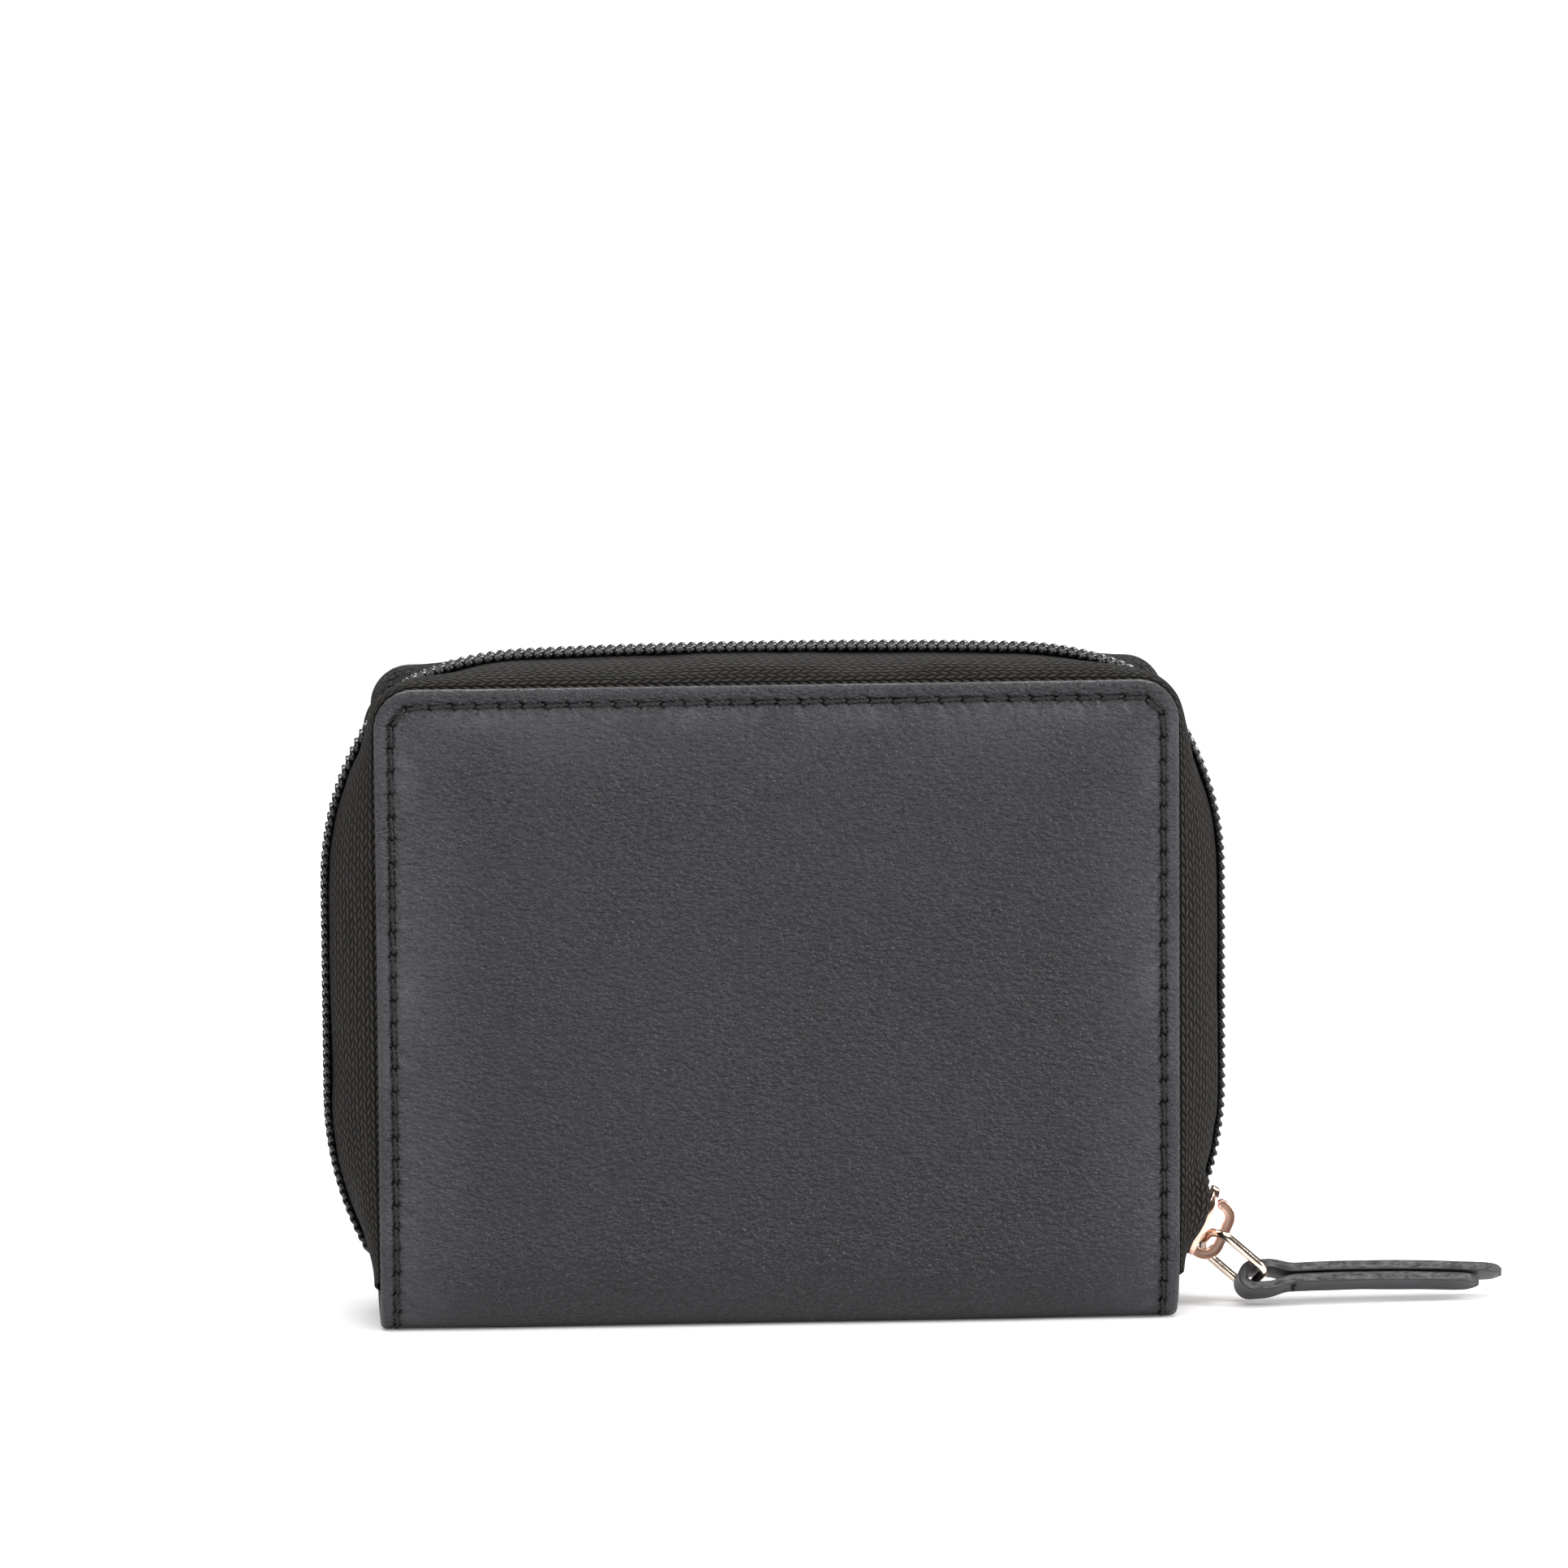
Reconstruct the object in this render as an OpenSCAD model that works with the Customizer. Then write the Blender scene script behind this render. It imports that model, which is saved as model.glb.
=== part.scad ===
// Zip-around wallet, closed and standing on its spine.
// +X runs along the spine towards the zip slider, +Y from the back cover to the front cover, +Z up.
// The origin is the middle of the spine's underside.

/* [Cover] */
// Width of each cover
cover_w = 99; // [97:0.5:104]
// Height from the base to the top edge
cover_h = 80.5; // [78:0.5:84]
// Depth over both covers
cover_depth = 25; // [25:0.1:28]
// Radius of the two top corners
corner_r = 5; // [4.5:0.5:6]
// Outer radius of the fold between cover and spine
fold_r = 6; // [5:0.5:6]
// Thickness of the outer leather
leather_t = 1.2; // [1:0.1:1.2]
// Distance from the cover's edge to its stitching
stitch_inset = 2; // [1.8:0.1:2.5]
// Length from one stitch to the next
stitch_pitch = 2.86; // [2.5:0.02:3.2]

/* [Zip] */
// How far the zip stands out beside the covers
zip_side = 6.7; // [5:0.05:7]
// How far the zip stands out above the covers
zip_top = 3.8; // [3:0.1:5]
// Height of the nylon coil on its tape
coil_h = 1.3; // [1.1:0.1:1.4]
// Thickness of the woven tape
tape_t = 0.4; // [0.3:0.05:0.4]

/* [Slider and pull] */
// Length of the zip slider
slider_len = 9; // [8:0.5:10]
// Width of the zip slider
slider_w = 6.6; // [6:0.2:7]
// Wire diameter of the pull ring
wire_d = 1.1; // [1:0.05:1.15]
// Length of the pull ring, outside
ring_len = 9.3; // [9:0.1:9.6]
// Width of the pull ring, outside
ring_w = 7.8; // [7.6:0.1:8.4]
// Width of the leather puller
puller_w = 5; // [4:0.1:5]
// Thickness of the puller's leather
puller_t = 1.15; // [1:0.05:1.2]

/* [Inside] */
// Thickness of one card pocket layer
pocket_t = 0.7; // [0.5:0.05:0.7]
// Width of the card pockets
pocket_w = 92; // [88:1:93]
// Width of the coin pocket
coin_w = 90; // [80:1:90]
// Height of the coin pocket's walls
coin_h = 62; // [50:1:62]
// Depth of the coin pocket over its walls
coin_depth = 4.8; // [4.6:0.1:4.8]

/* [Hidden] */
$fn = 48;

leather_colour = [0.16, 0.15, 0.17];
board_colour = [0.45, 0.38, 0.30];
lining_colour = [0.10, 0.10, 0.11];
tape_colour = [0.13, 0.12, 0.11];
coil_colour = [0.05, 0.05, 0.05];
thread_colour = [0.06, 0.06, 0.07];
gold_colour = [0.86, 0.62, 0.50];
gap = 0.05; // air between layers that lie on each other

// Layers of one half, as y measured on the back half.
half_w = cover_w / 2;
half_depth = cover_depth / 2;
rim_t = 1; // wall of the turned edge
board_t = 0.6;
lining_t = 0.6;
cover_in_y = -half_depth + leather_t;
board_in_y = cover_in_y + board_t;
tape_in_y = board_in_y + 2 * gap + tape_t;
lining_y = tape_in_y + gap;
pocket_y = lining_y + lining_t + gap;

// Stitching lies in a groove in the cover's face.
groove_d = 0.45;
groove_w = 0.9;
stitch_t = 0.4;
stitch_len = 0.8 * stitch_pitch;

// The zip's outer edge, seen from the back: a low arc that the slider runs on, a straight side,
// an easing arc, the corner arc, an arc up to the brow and a flat arc over the top.
low_r = 42;
low_end = -32.6; // angle of the low arc's bottom end
low_z = 28.5; // height of the low arc's centre
ease_r = 37;
ease_end = 36;
bend_r = 12.5;
bend_end = 69;
brow_r = 39;
brow_end = 88;
crown_r = 850;
side_x = half_w + zip_side;
low_c = [side_x - low_r, low_z];
ease_z = cover_h + zip_top - crown_r * (1 - sin(brow_end)) - brow_r * (sin(brow_end) - sin(bend_end))
  - bend_r * (sin(bend_end) - sin(ease_end)) - ease_r * sin(ease_end);
ease_c = [side_x - ease_r, ease_z];
bend_c = ease_c + (ease_r - bend_r) * [cos(ease_end), sin(ease_end)];
brow_c = bend_c + (bend_r - brow_r) * [cos(bend_end), sin(bend_end)];
crown_c = brow_c + (brow_r - crown_r) * [cos(brow_end), sin(brow_end)];
tail_z = 3.2; // where the zip's ends are tucked away
tape_z = 6.5; // where the tape's sewn margin ends

// Stations along the zip and, beside each, one on the cover's edge: [x, z, angle of the outward normal].
function arc(c, r, from, to, n) =
  [for (i = [0:n - 1]) let (a = from + (to - from) * i / n) [c.x + r * cos(a), c.y + r * sin(a), a]];
function up_side(from, to, n) = [for (i = [0:n - 1]) [half_w, from + (to - from) * i / n, 0]];
// The place on the cover's edge nearest to a station.
function beside(s) =
  let (c = [half_w - corner_r, cover_h - corner_r], d = [s.x, s.y] - c, a = atan2(d.y, d.x))
  d.y <= 0 ? [half_w, s.y, 0]
    : d.x <= 0 ? [s.x, cover_h, 90]
    : [c.x + corner_r * cos(a), c.y + corner_r * sin(a), a];
function mirrored(s) = [for (i = [len(s) - 1:-1:0]) [-s[i].x, s[i].y, 180 - s[i].z]];
low_n = 8; // stations along the low arc
zip_right = concat(
  [[half_w - 0.2, tail_z, 0]], arc(low_c, low_r, low_end, 0, low_n),
  [[side_x, low_z, 0], [side_x, (low_z + ease_z) / 2, 0]], arc(ease_c, ease_r, 0, ease_end, 6),
  arc(bend_c, bend_r, ease_end, bend_end, 5), arc(brow_c, brow_r, bend_end, brow_end, 4),
  arc(crown_c, crown_r, brow_end, 90, 4)
);
edge_right = concat(
  [[half_w, tape_z, 0]], up_side(tape_z + 1.5, low_z, low_n),
  [for (i = [low_n + 1:len(zip_right) - 1]) beside(zip_right[i])]
);
zip_line = concat(zip_right, [[0, cover_h + zip_top, 90]], mirrored(zip_right));
edge_line = concat(edge_right, [[0, cover_h, 90]], mirrored(edge_right));

// The tape's profile at each station: [share of the way out to the zip, bulge, y, normal out, normal y].
margin_w = 4;
tape_outer_y = board_in_y + gap;
tape_edge_y = -0.5;
tape_profile = [
  [0, -margin_w, tape_outer_y, 0, -1], [0, 0.1, tape_outer_y, 0.45, -0.9], [0.1, 0.9, -9.4, 0.9, -0.45],
  [0.35, 1.3, -7.2, 1, -0.1], [0.75, 0.6, -4.6, 1, 0], [1, 0, -2.6, 1, 0], [1, 0, tape_edge_y, 1, 0]
];
coil_from = -2.2;
coil_to = -0.5; // the two coils leave room for the slider's post

function normal(a) = [cos(a), 0, sin(a)];
function at(s, y) = [s.x, y, s.y];
function tape_point(i, p, depth) =
  let (
    edge = at(edge_line[i], p[2]), zip = at(zip_line[i], p[2]) - coil_h * normal(zip_line[i].z),
    out = normal(edge_line[i].z)
  )
  edge + (zip - edge) * p[0] + out * p[1] - depth * (out * p[3] + [0, p[4], 0]);
function tape_ring(i) = concat(
  [for (p = tape_profile) tape_point(i, p, 0)],
  [for (k = [len(tape_profile) - 1:-1:0]) tape_point(i, tape_profile[k], tape_t)]
);
function coil_ring(i) =
  let (s = zip_line[i], low = (coil_h - 0.05) * normal(s.z))
  [at(s, coil_from) - low, at(s, coil_from), at(s, coil_to), at(s, coil_to) - low];

// Skin of a strip through rings of m points, each ring folded down its middle.
module strip(rings) {
  n = len(rings);
  m = len(rings[0]);
  sides = [for (i = [0:n - 2]) for (j = [0:m - 1]) for (half = [0, 1])
    let (a = i * m + j, b = i * m + (j + 1) % m, c = b + m, d = a + m)
    half == 0 ? [a, b, c] : [a, c, d]];
  ends = [for (k = [0:m / 2 - 2]) for (last = [0, 1])
    let (q = [k, k + 1, m - 2 - k, m - 1 - k])
    last == 0 ? [q[3], q[2], q[1], q[0]] : [for (v = q) v + (n - 1) * m]];
  polyhedron([for (r = rings) each r], concat(sides, ends), convexity = 6);
}

// Cover outline, grown or shrunk by inset, from height low up to the top edge.
module outline(inset, low) {
  r = max(corner_r - inset, 0.5);
  w = half_w - inset;
  union() {
    translate([-w, low]) square([2 * w, cover_h - inset - r - low]);
    translate([-w + r, low]) square([2 * (w - r), cover_h - inset - low]);
    for (side = [-1, 1]) translate([side * (w - r), cover_h - inset - r]) circle(r);
  }
}

// A 2-D shape in x and z, made solid from one y to another.
module slab(from, to) {
  translate([0, to, 0]) rotate([90, 0, 0]) linear_extrude(to - from) children();
}

module cover() {
  color(leather_colour) difference() {
    slab(-half_depth, board_in_y) outline(0, fold_r);
    slab(cover_in_y, board_in_y + 1) outline(rim_t, fold_r - 1);
    slab(-half_depth - 1, -half_depth + groove_d) difference() {
      outline(stitch_inset - groove_w / 2, fold_r - 1);
      outline(stitch_inset + groove_w / 2, fold_r - 2);
    }
  }
}

module board() {
  color(board_colour) slab(cover_in_y + gap, board_in_y) outline(rim_t + 0.1, fold_r + 1);
}

module lining() {
  color(lining_colour) slab(lining_y, lining_y + lining_t) outline(0.8, fold_r);
}

module zip_tape() {
  color(tape_colour) strip([for (i = [0:len(zip_line) - 1]) tape_ring(i)]);
}

module zip_coil() {
  color(coil_colour) strip([for (i = [0:len(zip_line) - 1]) coil_ring(i)]);
}

module stitch(x, z, angle) {
  translate([x, -half_depth + groove_d - stitch_t / 2 - 0.02, z]) rotate([0, -angle, 0])
    cube([stitch_len, stitch_t, 0.55], center = true);
}

module edge_stitching() {
  x = half_w - stitch_inset;
  r = corner_r - stitch_inset;
  low = fold_r + 2;
  side_n = floor((cover_h - corner_r - low) / stitch_pitch);
  top_n = floor((cover_w - 2 * corner_r) / stitch_pitch);
  color(thread_colour) {
    for (i = [0:side_n - 1], side = [-1, 1]) stitch(side * x, low + (i + 0.5) * stitch_pitch, 90);
    for (i = [0:top_n - 1]) stitch((i + 0.5 - top_n / 2) * stitch_pitch, cover_h - stitch_inset, 0);
    for (side = [-1, 1])
      stitch(side * (half_w - corner_r + r * 0.72), cover_h - corner_r + r * 0.72, side * -45);
  }
}

// Card pockets are leaves sewn over each other, each with rounded top corners.
module pocket_leaf(layer, top) {
  y = pocket_y + (layer - 1) * pocket_t;
  low = fold_r + 2;
  r = 3;
  color(leather_colour) slab(y, y + pocket_t - gap) union() {
    translate([-pocket_w / 2, low]) square([pocket_w, top - r - low]);
    translate([-pocket_w / 2 + r, low]) square([pocket_w - 2 * r, top - low]);
    for (side = [-1, 1]) translate([side * (pocket_w / 2 - r), top - r]) circle(r);
  }
}

module front() {
  mirror([0, 1, 0]) children();
}

fold_y = half_depth - fold_r;

module spine_cover() {
  color(leather_colour) translate([-half_w, -fold_y, 0]) cube([cover_w, 2 * fold_y, leather_t]);
}

module spine_board() {
  color(board_colour) translate([-half_w + rim_t, -fold_y, leather_t + gap])
    cube([cover_w - 2 * rim_t, 2 * fold_y, 0.5]);
}

module spine_lining() {
  color(lining_colour) translate([-half_w + 0.8, -fold_y, leather_t + 0.5 + 2 * gap])
    cube([cover_w - 1.6, 2 * fold_y, 0.5]);
}

// Quarter round of leather between the cover and the spine.
module fold() {
  color(leather_colour) translate([-half_w, -fold_y, fold_r]) rotate([0, 90, 0]) linear_extrude(cover_w)
    intersection() {
      difference() {
        circle(fold_r);
        circle(fold_r - leather_t);
      }
      translate([0, -fold_r]) square(fold_r);
    }
}

// Coin pocket: two walls sewn together round three sides, with a small zip along the top.
spine_top = leather_t + 0.5 + 2 * gap + 0.5 + gap;
wall_t = 0.7;
wall_out = coin_depth / 2;
wall_in = wall_out - wall_t;
seam_w = 3;
coin_tape_t = 0.4;
coin_tape_out = wall_in - gap;
coin_tape_gap = 0.3;
coin_coil_h = 1.1;
coin_tape_top = coin_h + coin_tape_t + 0.2;
coin_coil_top = coin_tape_top + gap + coin_coil_h;

module coin_wall() {
  color(leather_colour) translate([-coin_w / 2, 0, spine_top]) {
    translate([0, -wall_out, 0]) cube([coin_w, wall_t, coin_h - spine_top]);
    translate([0, -wall_in, 0]) cube([coin_w, wall_in - gap, seam_w]);
    for (x = [0, coin_w - seam_w]) translate([x, -wall_in, 0])
      cube([seam_w, wall_in - gap, coin_h - spine_top]);
  }
}

module coin_tape() {
  length = coin_w - 2 * seam_w - 2 * gap;
  color(tape_colour) translate([-length / 2, 0, 0]) {
    translate([0, -coin_tape_out, coin_h - 7]) cube([length, coin_tape_t, coin_tape_top - coin_h + 7]);
    translate([0, -coin_tape_out, coin_tape_top - coin_tape_t])
      cube([length, coin_tape_out - coin_tape_gap, coin_tape_t]);
  }
}

module coin_coil() {
  length = coin_w - 2 * seam_w - 1;
  color(coil_colour) translate([-length / 2, -coin_tape_out, coin_tape_top + gap])
    cube([length, coin_tape_out - coin_tape_gap - gap, coin_coil_h]);
}

// The small slider, drawn at the closed end of the coin zip.
coin_slider_x = 35;
coin_slider_len = 7;
coin_plate_z = coin_coil_top + 0.35;
coin_plate_t = 0.8;
coin_axis_z = coin_plate_z + coin_plate_t + 0.75;
coin_bar_r = 0.45;
coin_arch_in = 0.75;
coin_arch_out = 1.4;

module coin_zip_slider() {
  lower_top = coin_tape_top - coin_tape_t - 0.35;
  color(gold_colour) translate([coin_slider_x, 0, 0]) {
    translate([-coin_slider_len / 2, -2.2, coin_plate_z]) cube([coin_slider_len, 4.4, coin_plate_t]);
    translate([-coin_slider_len / 2, -1.05, lower_top - 0.7]) cube([coin_slider_len, 2.1, 0.7]);
    translate([coin_slider_len / 2 - 1.8, -0.22, lower_top - 0.1])
      cube([1.6, 0.44, coin_plate_z - lower_top + 0.2]);
    translate([0, 0.6, coin_axis_z]) rotate([90, 0, 0]) linear_extrude(1.2) difference() {
      union() {
        circle(coin_arch_out);
        translate([-coin_arch_out, -coin_arch_in - 0.1]) square([2 * coin_arch_out, coin_arch_in + 0.1]);
      }
      circle(coin_arch_in);
    }
  }
}

// Tab with a window that the slider's arch passes through, lying along the zip.
module coin_zip_pull() {
  tab_len = 10.5;
  tab_w = 4.2;
  tab_t = 0.8;
  window_w = 1.7;
  color(gold_colour) translate([coin_slider_x, 0, coin_axis_z]) {
    translate([0, tab_w / 2, 0]) rotate([90, 0, 0]) cylinder(h = tab_w, r = coin_bar_r);
    translate([0, 0, -tab_t / 2]) linear_extrude(tab_t) difference() {
      union() {
        translate([-tab_len + tab_w / 2, -tab_w / 2]) square([tab_len - tab_w / 2, tab_w]);
        translate([-tab_len + tab_w / 2, 0]) circle(tab_w / 2);
      }
      translate([-2.4, -window_w / 2]) square([2.4, window_w]);
    }
  }
}

// The main slider, drawn on the low arc with x outward from the arc's centre.
slider_angle = 24.5;
slider_clear = 0.45;
plate_t = 0.9;
hook_gap = 2.3; // room under the hook for the ring's wire
hook_t = 1.2;
hook_w = 1.4;
hook_low = -2.2; // middle of the hook's lower bend, along the slider
hook_high = 1; // middle of its upper bend
plate_out = low_r + slider_clear + plate_t;
hook_x = plate_out + hook_gap / 2 - 0.1;

module on_low_arc() {
  translate([low_c.x, 0, low_c.y]) rotate([0, slider_angle, 0]) children();
}

// One slider plate, narrower towards the closed zip above it.
module plate(x, t) {
  translate([x, 0, 0]) rotate([0, 90, 0]) linear_extrude(t) polygon([
    [slider_len / 2, -slider_w / 2 + 0.9], [slider_len / 2 - 0.9, -slider_w / 2],
    [0, -slider_w / 2], [-slider_len / 2, -slider_w / 2 + 0.6],
    [-slider_len / 2, slider_w / 2 - 0.6], [0, slider_w / 2],
    [slider_len / 2 - 0.9, slider_w / 2], [slider_len / 2, slider_w / 2 - 0.9]
  ]);
}

// Open hook in x and z: root at the bottom of the plate, free tip near its top.
module hook_profile() {
  r_in = hook_gap / 2;
  r_out = r_in + hook_t;
  difference() {
    union() {
      translate([hook_x, hook_low]) circle(r_out);
      translate([hook_x, hook_high]) circle(r_out);
      translate([hook_x, hook_low]) square([r_out, hook_high - hook_low]);
      translate([plate_out - 0.2, hook_low - r_out]) square([r_in, r_out]);
    }
    translate([hook_x, hook_low]) circle(r_in);
    translate([hook_x, hook_high]) circle(r_in);
    translate([hook_x - r_in, hook_low]) square([2 * r_in, hook_high - hook_low]);
    translate([plate_out - 3, hook_low]) square([hook_x - plate_out + 3, slider_len]);
    translate([plate_out - 3, hook_low - 3]) square([2.9, slider_len]);
  }
}

module zip_slider() {
  inner_x = low_r - coil_h - tape_t - slider_clear;
  color(gold_colour) on_low_arc() {
    plate(low_r + slider_clear, plate_t);
    plate(inner_x - 0.8, 0.8);
    translate([inner_x - 0.1, -0.4, -slider_len / 2 + 0.3])
      cube([low_r + slider_clear - inner_x + 0.2, 0.8, 2]);
    slab(-hook_w / 2, hook_w / 2) hook_profile();
  }
}

// The ring hangs in the hook, and the puller lies with its near edge raised.
ring_turn = [-42, 40, -12];
puller_turn = [-26, -1.8, 5];
ring_rest = hook_low + 0.45; // where the ring's wire lies, along the slider

// Turns children back out of a rotate(turn).
module unturn(turn) {
  rotate([-turn.x, 0, 0]) rotate([0, -turn.y, 0]) rotate([0, 0, -turn.z]) children();
}

// Frame of the ring: origin in its wire under the hook, x along the ring, y across it.
module ring_frame() {
  on_low_arc() translate([hook_x, 0, ring_rest]) rotate([0, -slider_angle, 0]) rotate(ring_turn) children();
}

wire_r = wire_d / 2;
ring_y = (ring_w - wire_d) / 2;
ring_x = ring_len - wire_d;
top_bend = 2.6; // the ring's corners at the slider
low_bend = 1; // and at the puller

module wire_bend(r) {
  rotate_extrude(angle = 90) translate([r, 0]) circle(wire_r, $fn = 24);
}

module wire(length) {
  rotate([0, 90, 0]) cylinder(h = length, r = wire_r, $fn = 24);
}

module pull_ring() {
  color(gold_colour) ring_frame() {
    for (side = [0, 1]) mirror([0, side, 0]) {
      translate([top_bend, ring_y - top_bend, 0]) rotate([0, 0, 90]) wire_bend(top_bend);
      translate([ring_x - low_bend, ring_y - low_bend, 0]) wire_bend(low_bend);
      translate([top_bend, ring_y, 0]) wire(ring_x - top_bend - low_bend);
    }
    translate([0, top_bend - ring_y, 0]) rotate([0, 0, 90]) wire(2 * (ring_y - top_bend));
    translate([ring_x, low_bend - ring_y, 0]) rotate([0, 0, 90]) wire(2 * (ring_y - low_bend));
  }
}

// Frame of the puller: origin at the ring's lower wire, x along the puller, y across it.
module puller_frame() {
  ring_frame() translate([ring_x, 0, 0]) unturn(ring_turn) rotate(puller_turn) children();
}

loop_in = 0.85;
loop_out = loop_in + puller_t;
loop_run = 1.2; // length of the loop's straight stretch
leaf_len = 31;
leaf_short = 28;
leaf_bend = 260; // radius that the leaves curve down to
leaf_gap = 0.3; // air between the two leaves
leaf_out = leaf_gap / 2 + puller_t;

// Slot with round ends, lying along x.
module slot(r) {
  for (x = [-loop_run / 2, loop_run / 2]) translate([x, 0]) circle(r);
  translate([-loop_run / 2, -r]) square([loop_run, 2 * r]);
}

// Leaf of the folded strip, in x and z: an arc between two radii that ends at length.
module leaf(top, length) {
  start = loop_run / 2 + 1.3;
  translate([0, top - leaf_bend]) intersection() {
    difference() {
      circle(leaf_bend, $fn = 360);
      circle(leaf_bend - puller_t, $fn = 360);
    }
    translate([start, leaf_bend - 8]) square([length - start, 10]);
  }
}

module puller_profile() {
  difference() {
    slot(loop_out);
    slot(loop_in);
    translate([loop_run, -leaf_gap / 2]) square([3, leaf_gap]);
  }
  leaf(leaf_out, leaf_len);
  leaf(-leaf_gap / 2, leaf_short);
}

module leather_puller() {
  half = puller_w / 2;
  color(leather_colour) puller_frame() intersection() {
    slab(-half, half) puller_profile();
    translate([0, 0, -8]) linear_extrude(16) polygon([
      [-4, -half], [leaf_len - 3.5, -half], [leaf_len - 1, -half * 0.7], [leaf_len, -half * 0.2],
      [leaf_len, half * 0.2], [leaf_len - 1, half * 0.7], [leaf_len - 3.5, half], [-4, half]
    ]);
  }
}

// Thread across both faces of the puller, through the leaves, that closes the loop.
module puller_stitch() {
  thread_r = 0.28;
  reach = 1.6;
  color(thread_colour) puller_frame() translate([4.6, 0, 0]) {
    for (y = [-reach, reach]) translate([0, y, -leaf_out]) cylinder(h = 2 * leaf_out, r = thread_r, $fn = 24);
    for (z = [-leaf_out, leaf_out]) translate([0, -reach - thread_r, z]) rotate([-90, 0, 0])
      cylinder(h = 2 * (reach + thread_r), r = thread_r, $fn = 24);
  }
}

card_tops = [64, 55, 46, 37]; // top edges of the back half's card pockets
slip_top = 68;
front_tops = [57, 47, 37];

cover();  // back_cover
board();  // back_board
lining();  // back_lining
zip_tape();  // back_zip_tape
zip_coil();  // back_zip_coil
edge_stitching();  // back_edge_stitching
pocket_leaf(1, card_tops[0]);  // back_card_pocket_1
pocket_leaf(2, card_tops[1]);  // back_card_pocket_2
pocket_leaf(3, card_tops[2]);  // back_card_pocket_3
pocket_leaf(4, card_tops[3]);  // back_card_pocket_4
front() cover();  // front_cover
front() board();  // front_board
front() lining();  // front_lining
front() zip_tape();  // front_zip_tape
front() zip_coil();  // front_zip_coil
front() edge_stitching();  // front_edge_stitching
front() pocket_leaf(1, slip_top);  // front_slip_pocket
front() pocket_leaf(2, front_tops[0]);  // front_card_pocket_1
front() pocket_leaf(3, front_tops[1]);  // front_card_pocket_2
front() pocket_leaf(4, front_tops[2]);  // front_card_pocket_3
spine_cover();
spine_board();
spine_lining();
fold();  // back_fold
front() fold();  // front_fold
coin_wall();  // coin_pocket_back_wall
front() coin_wall();  // coin_pocket_front_wall
coin_tape();  // coin_zip_tape_back
front() coin_tape();  // coin_zip_tape_front
coin_coil();  // coin_zip_coil_back
front() coin_coil();  // coin_zip_coil_front
coin_zip_slider();
coin_zip_pull();
zip_slider();
pull_ring();
leather_puller();
puller_stitch();
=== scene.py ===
"""Looks of a zip-around wallet, built round its CAD frame. Shapes are worked out in millimetres."""
import math
import bpy
import numpy as np
from mathutils import Matrix, Vector


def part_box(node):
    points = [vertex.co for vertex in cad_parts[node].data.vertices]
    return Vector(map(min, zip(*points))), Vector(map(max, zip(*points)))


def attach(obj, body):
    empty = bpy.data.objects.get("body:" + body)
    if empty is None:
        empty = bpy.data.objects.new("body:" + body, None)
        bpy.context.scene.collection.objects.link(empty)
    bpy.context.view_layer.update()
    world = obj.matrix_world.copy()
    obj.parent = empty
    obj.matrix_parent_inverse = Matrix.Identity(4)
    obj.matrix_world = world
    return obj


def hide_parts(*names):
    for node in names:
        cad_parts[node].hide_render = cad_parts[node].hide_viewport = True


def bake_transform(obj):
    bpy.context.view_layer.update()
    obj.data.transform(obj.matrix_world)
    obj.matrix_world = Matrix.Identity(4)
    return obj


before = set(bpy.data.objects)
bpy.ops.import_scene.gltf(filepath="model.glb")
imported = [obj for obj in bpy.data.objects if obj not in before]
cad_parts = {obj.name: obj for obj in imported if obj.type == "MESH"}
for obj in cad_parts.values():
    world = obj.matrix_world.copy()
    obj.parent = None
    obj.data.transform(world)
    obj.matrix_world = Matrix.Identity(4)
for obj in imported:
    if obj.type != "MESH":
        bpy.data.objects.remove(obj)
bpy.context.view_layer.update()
MM = 0.001


def node_box(name):
    """Lowest and highest corner of a CAD node, in millimetres."""
    lo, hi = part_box(name)
    return np.array(lo) / MM, np.array(hi) / MM


# ---- sizes, in millimetres
COVER_LO, COVER_HI = node_box("back_cover")
HALF_W = COVER_HI[0]
FACE_Y = COVER_LO[1]
INNER_Y = COVER_HI[1]
TOP_Z = COVER_HI[2]
SPINE_Y = node_box("spine_cover")[0][1]
CORNER = 5.0
ROLL_H = 11.0
RIM_R = 0.75
STITCH_IN = 2.0
STITCH_LEN = 2.86
COVER_THREAD, POCKET_THREAD, PULLER_THREAD = 0.22, 0.14, 0.26
POCKET_EDGE_R = 0.22
ZIP_SIDE, ZIP_TOP, COIL_H, TAPE_T = 6.7, 3.8, 1.3, 0.4
COIL_PITCH, COIL_WIRE = 1.25, 0.33
BACK, FRONT = 1, -1
HALVES = (("back", BACK), ("front", FRONT))


# ---- numbers and noise
def smooth(x, lo, hi):
    t = np.clip((np.asarray(x, float) - lo) / (hi - lo), 0, 1)
    return t * t * (3 - 2 * t)


def bell(x, middle, width):
    return np.exp(-(((np.asarray(x, float) - middle) / width) ** 2))


def noise(u, v, seed):
    """Smooth noise from -1 to 1 with features about one unit wide."""
    table = np.random.default_rng(seed).uniform(-1, 1, (64, 64))
    u, v = np.asarray(u, float) + 100.37, np.asarray(v, float) + 100.71
    i, j = np.floor(u).astype(int), np.floor(v).astype(int)
    a, b = u - i, v - j
    a, b = a * a * (3 - 2 * a), b * b * (3 - 2 * b)
    i, j, i1, j1 = i % 64, j % 64, (i + 1) % 64, (j + 1) % 64
    low = table[i, j] * (1 - a) + table[i1, j] * a
    return low * (1 - b) + (table[i, j1] * (1 - a) + table[i1, j1] * a) * b


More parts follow.
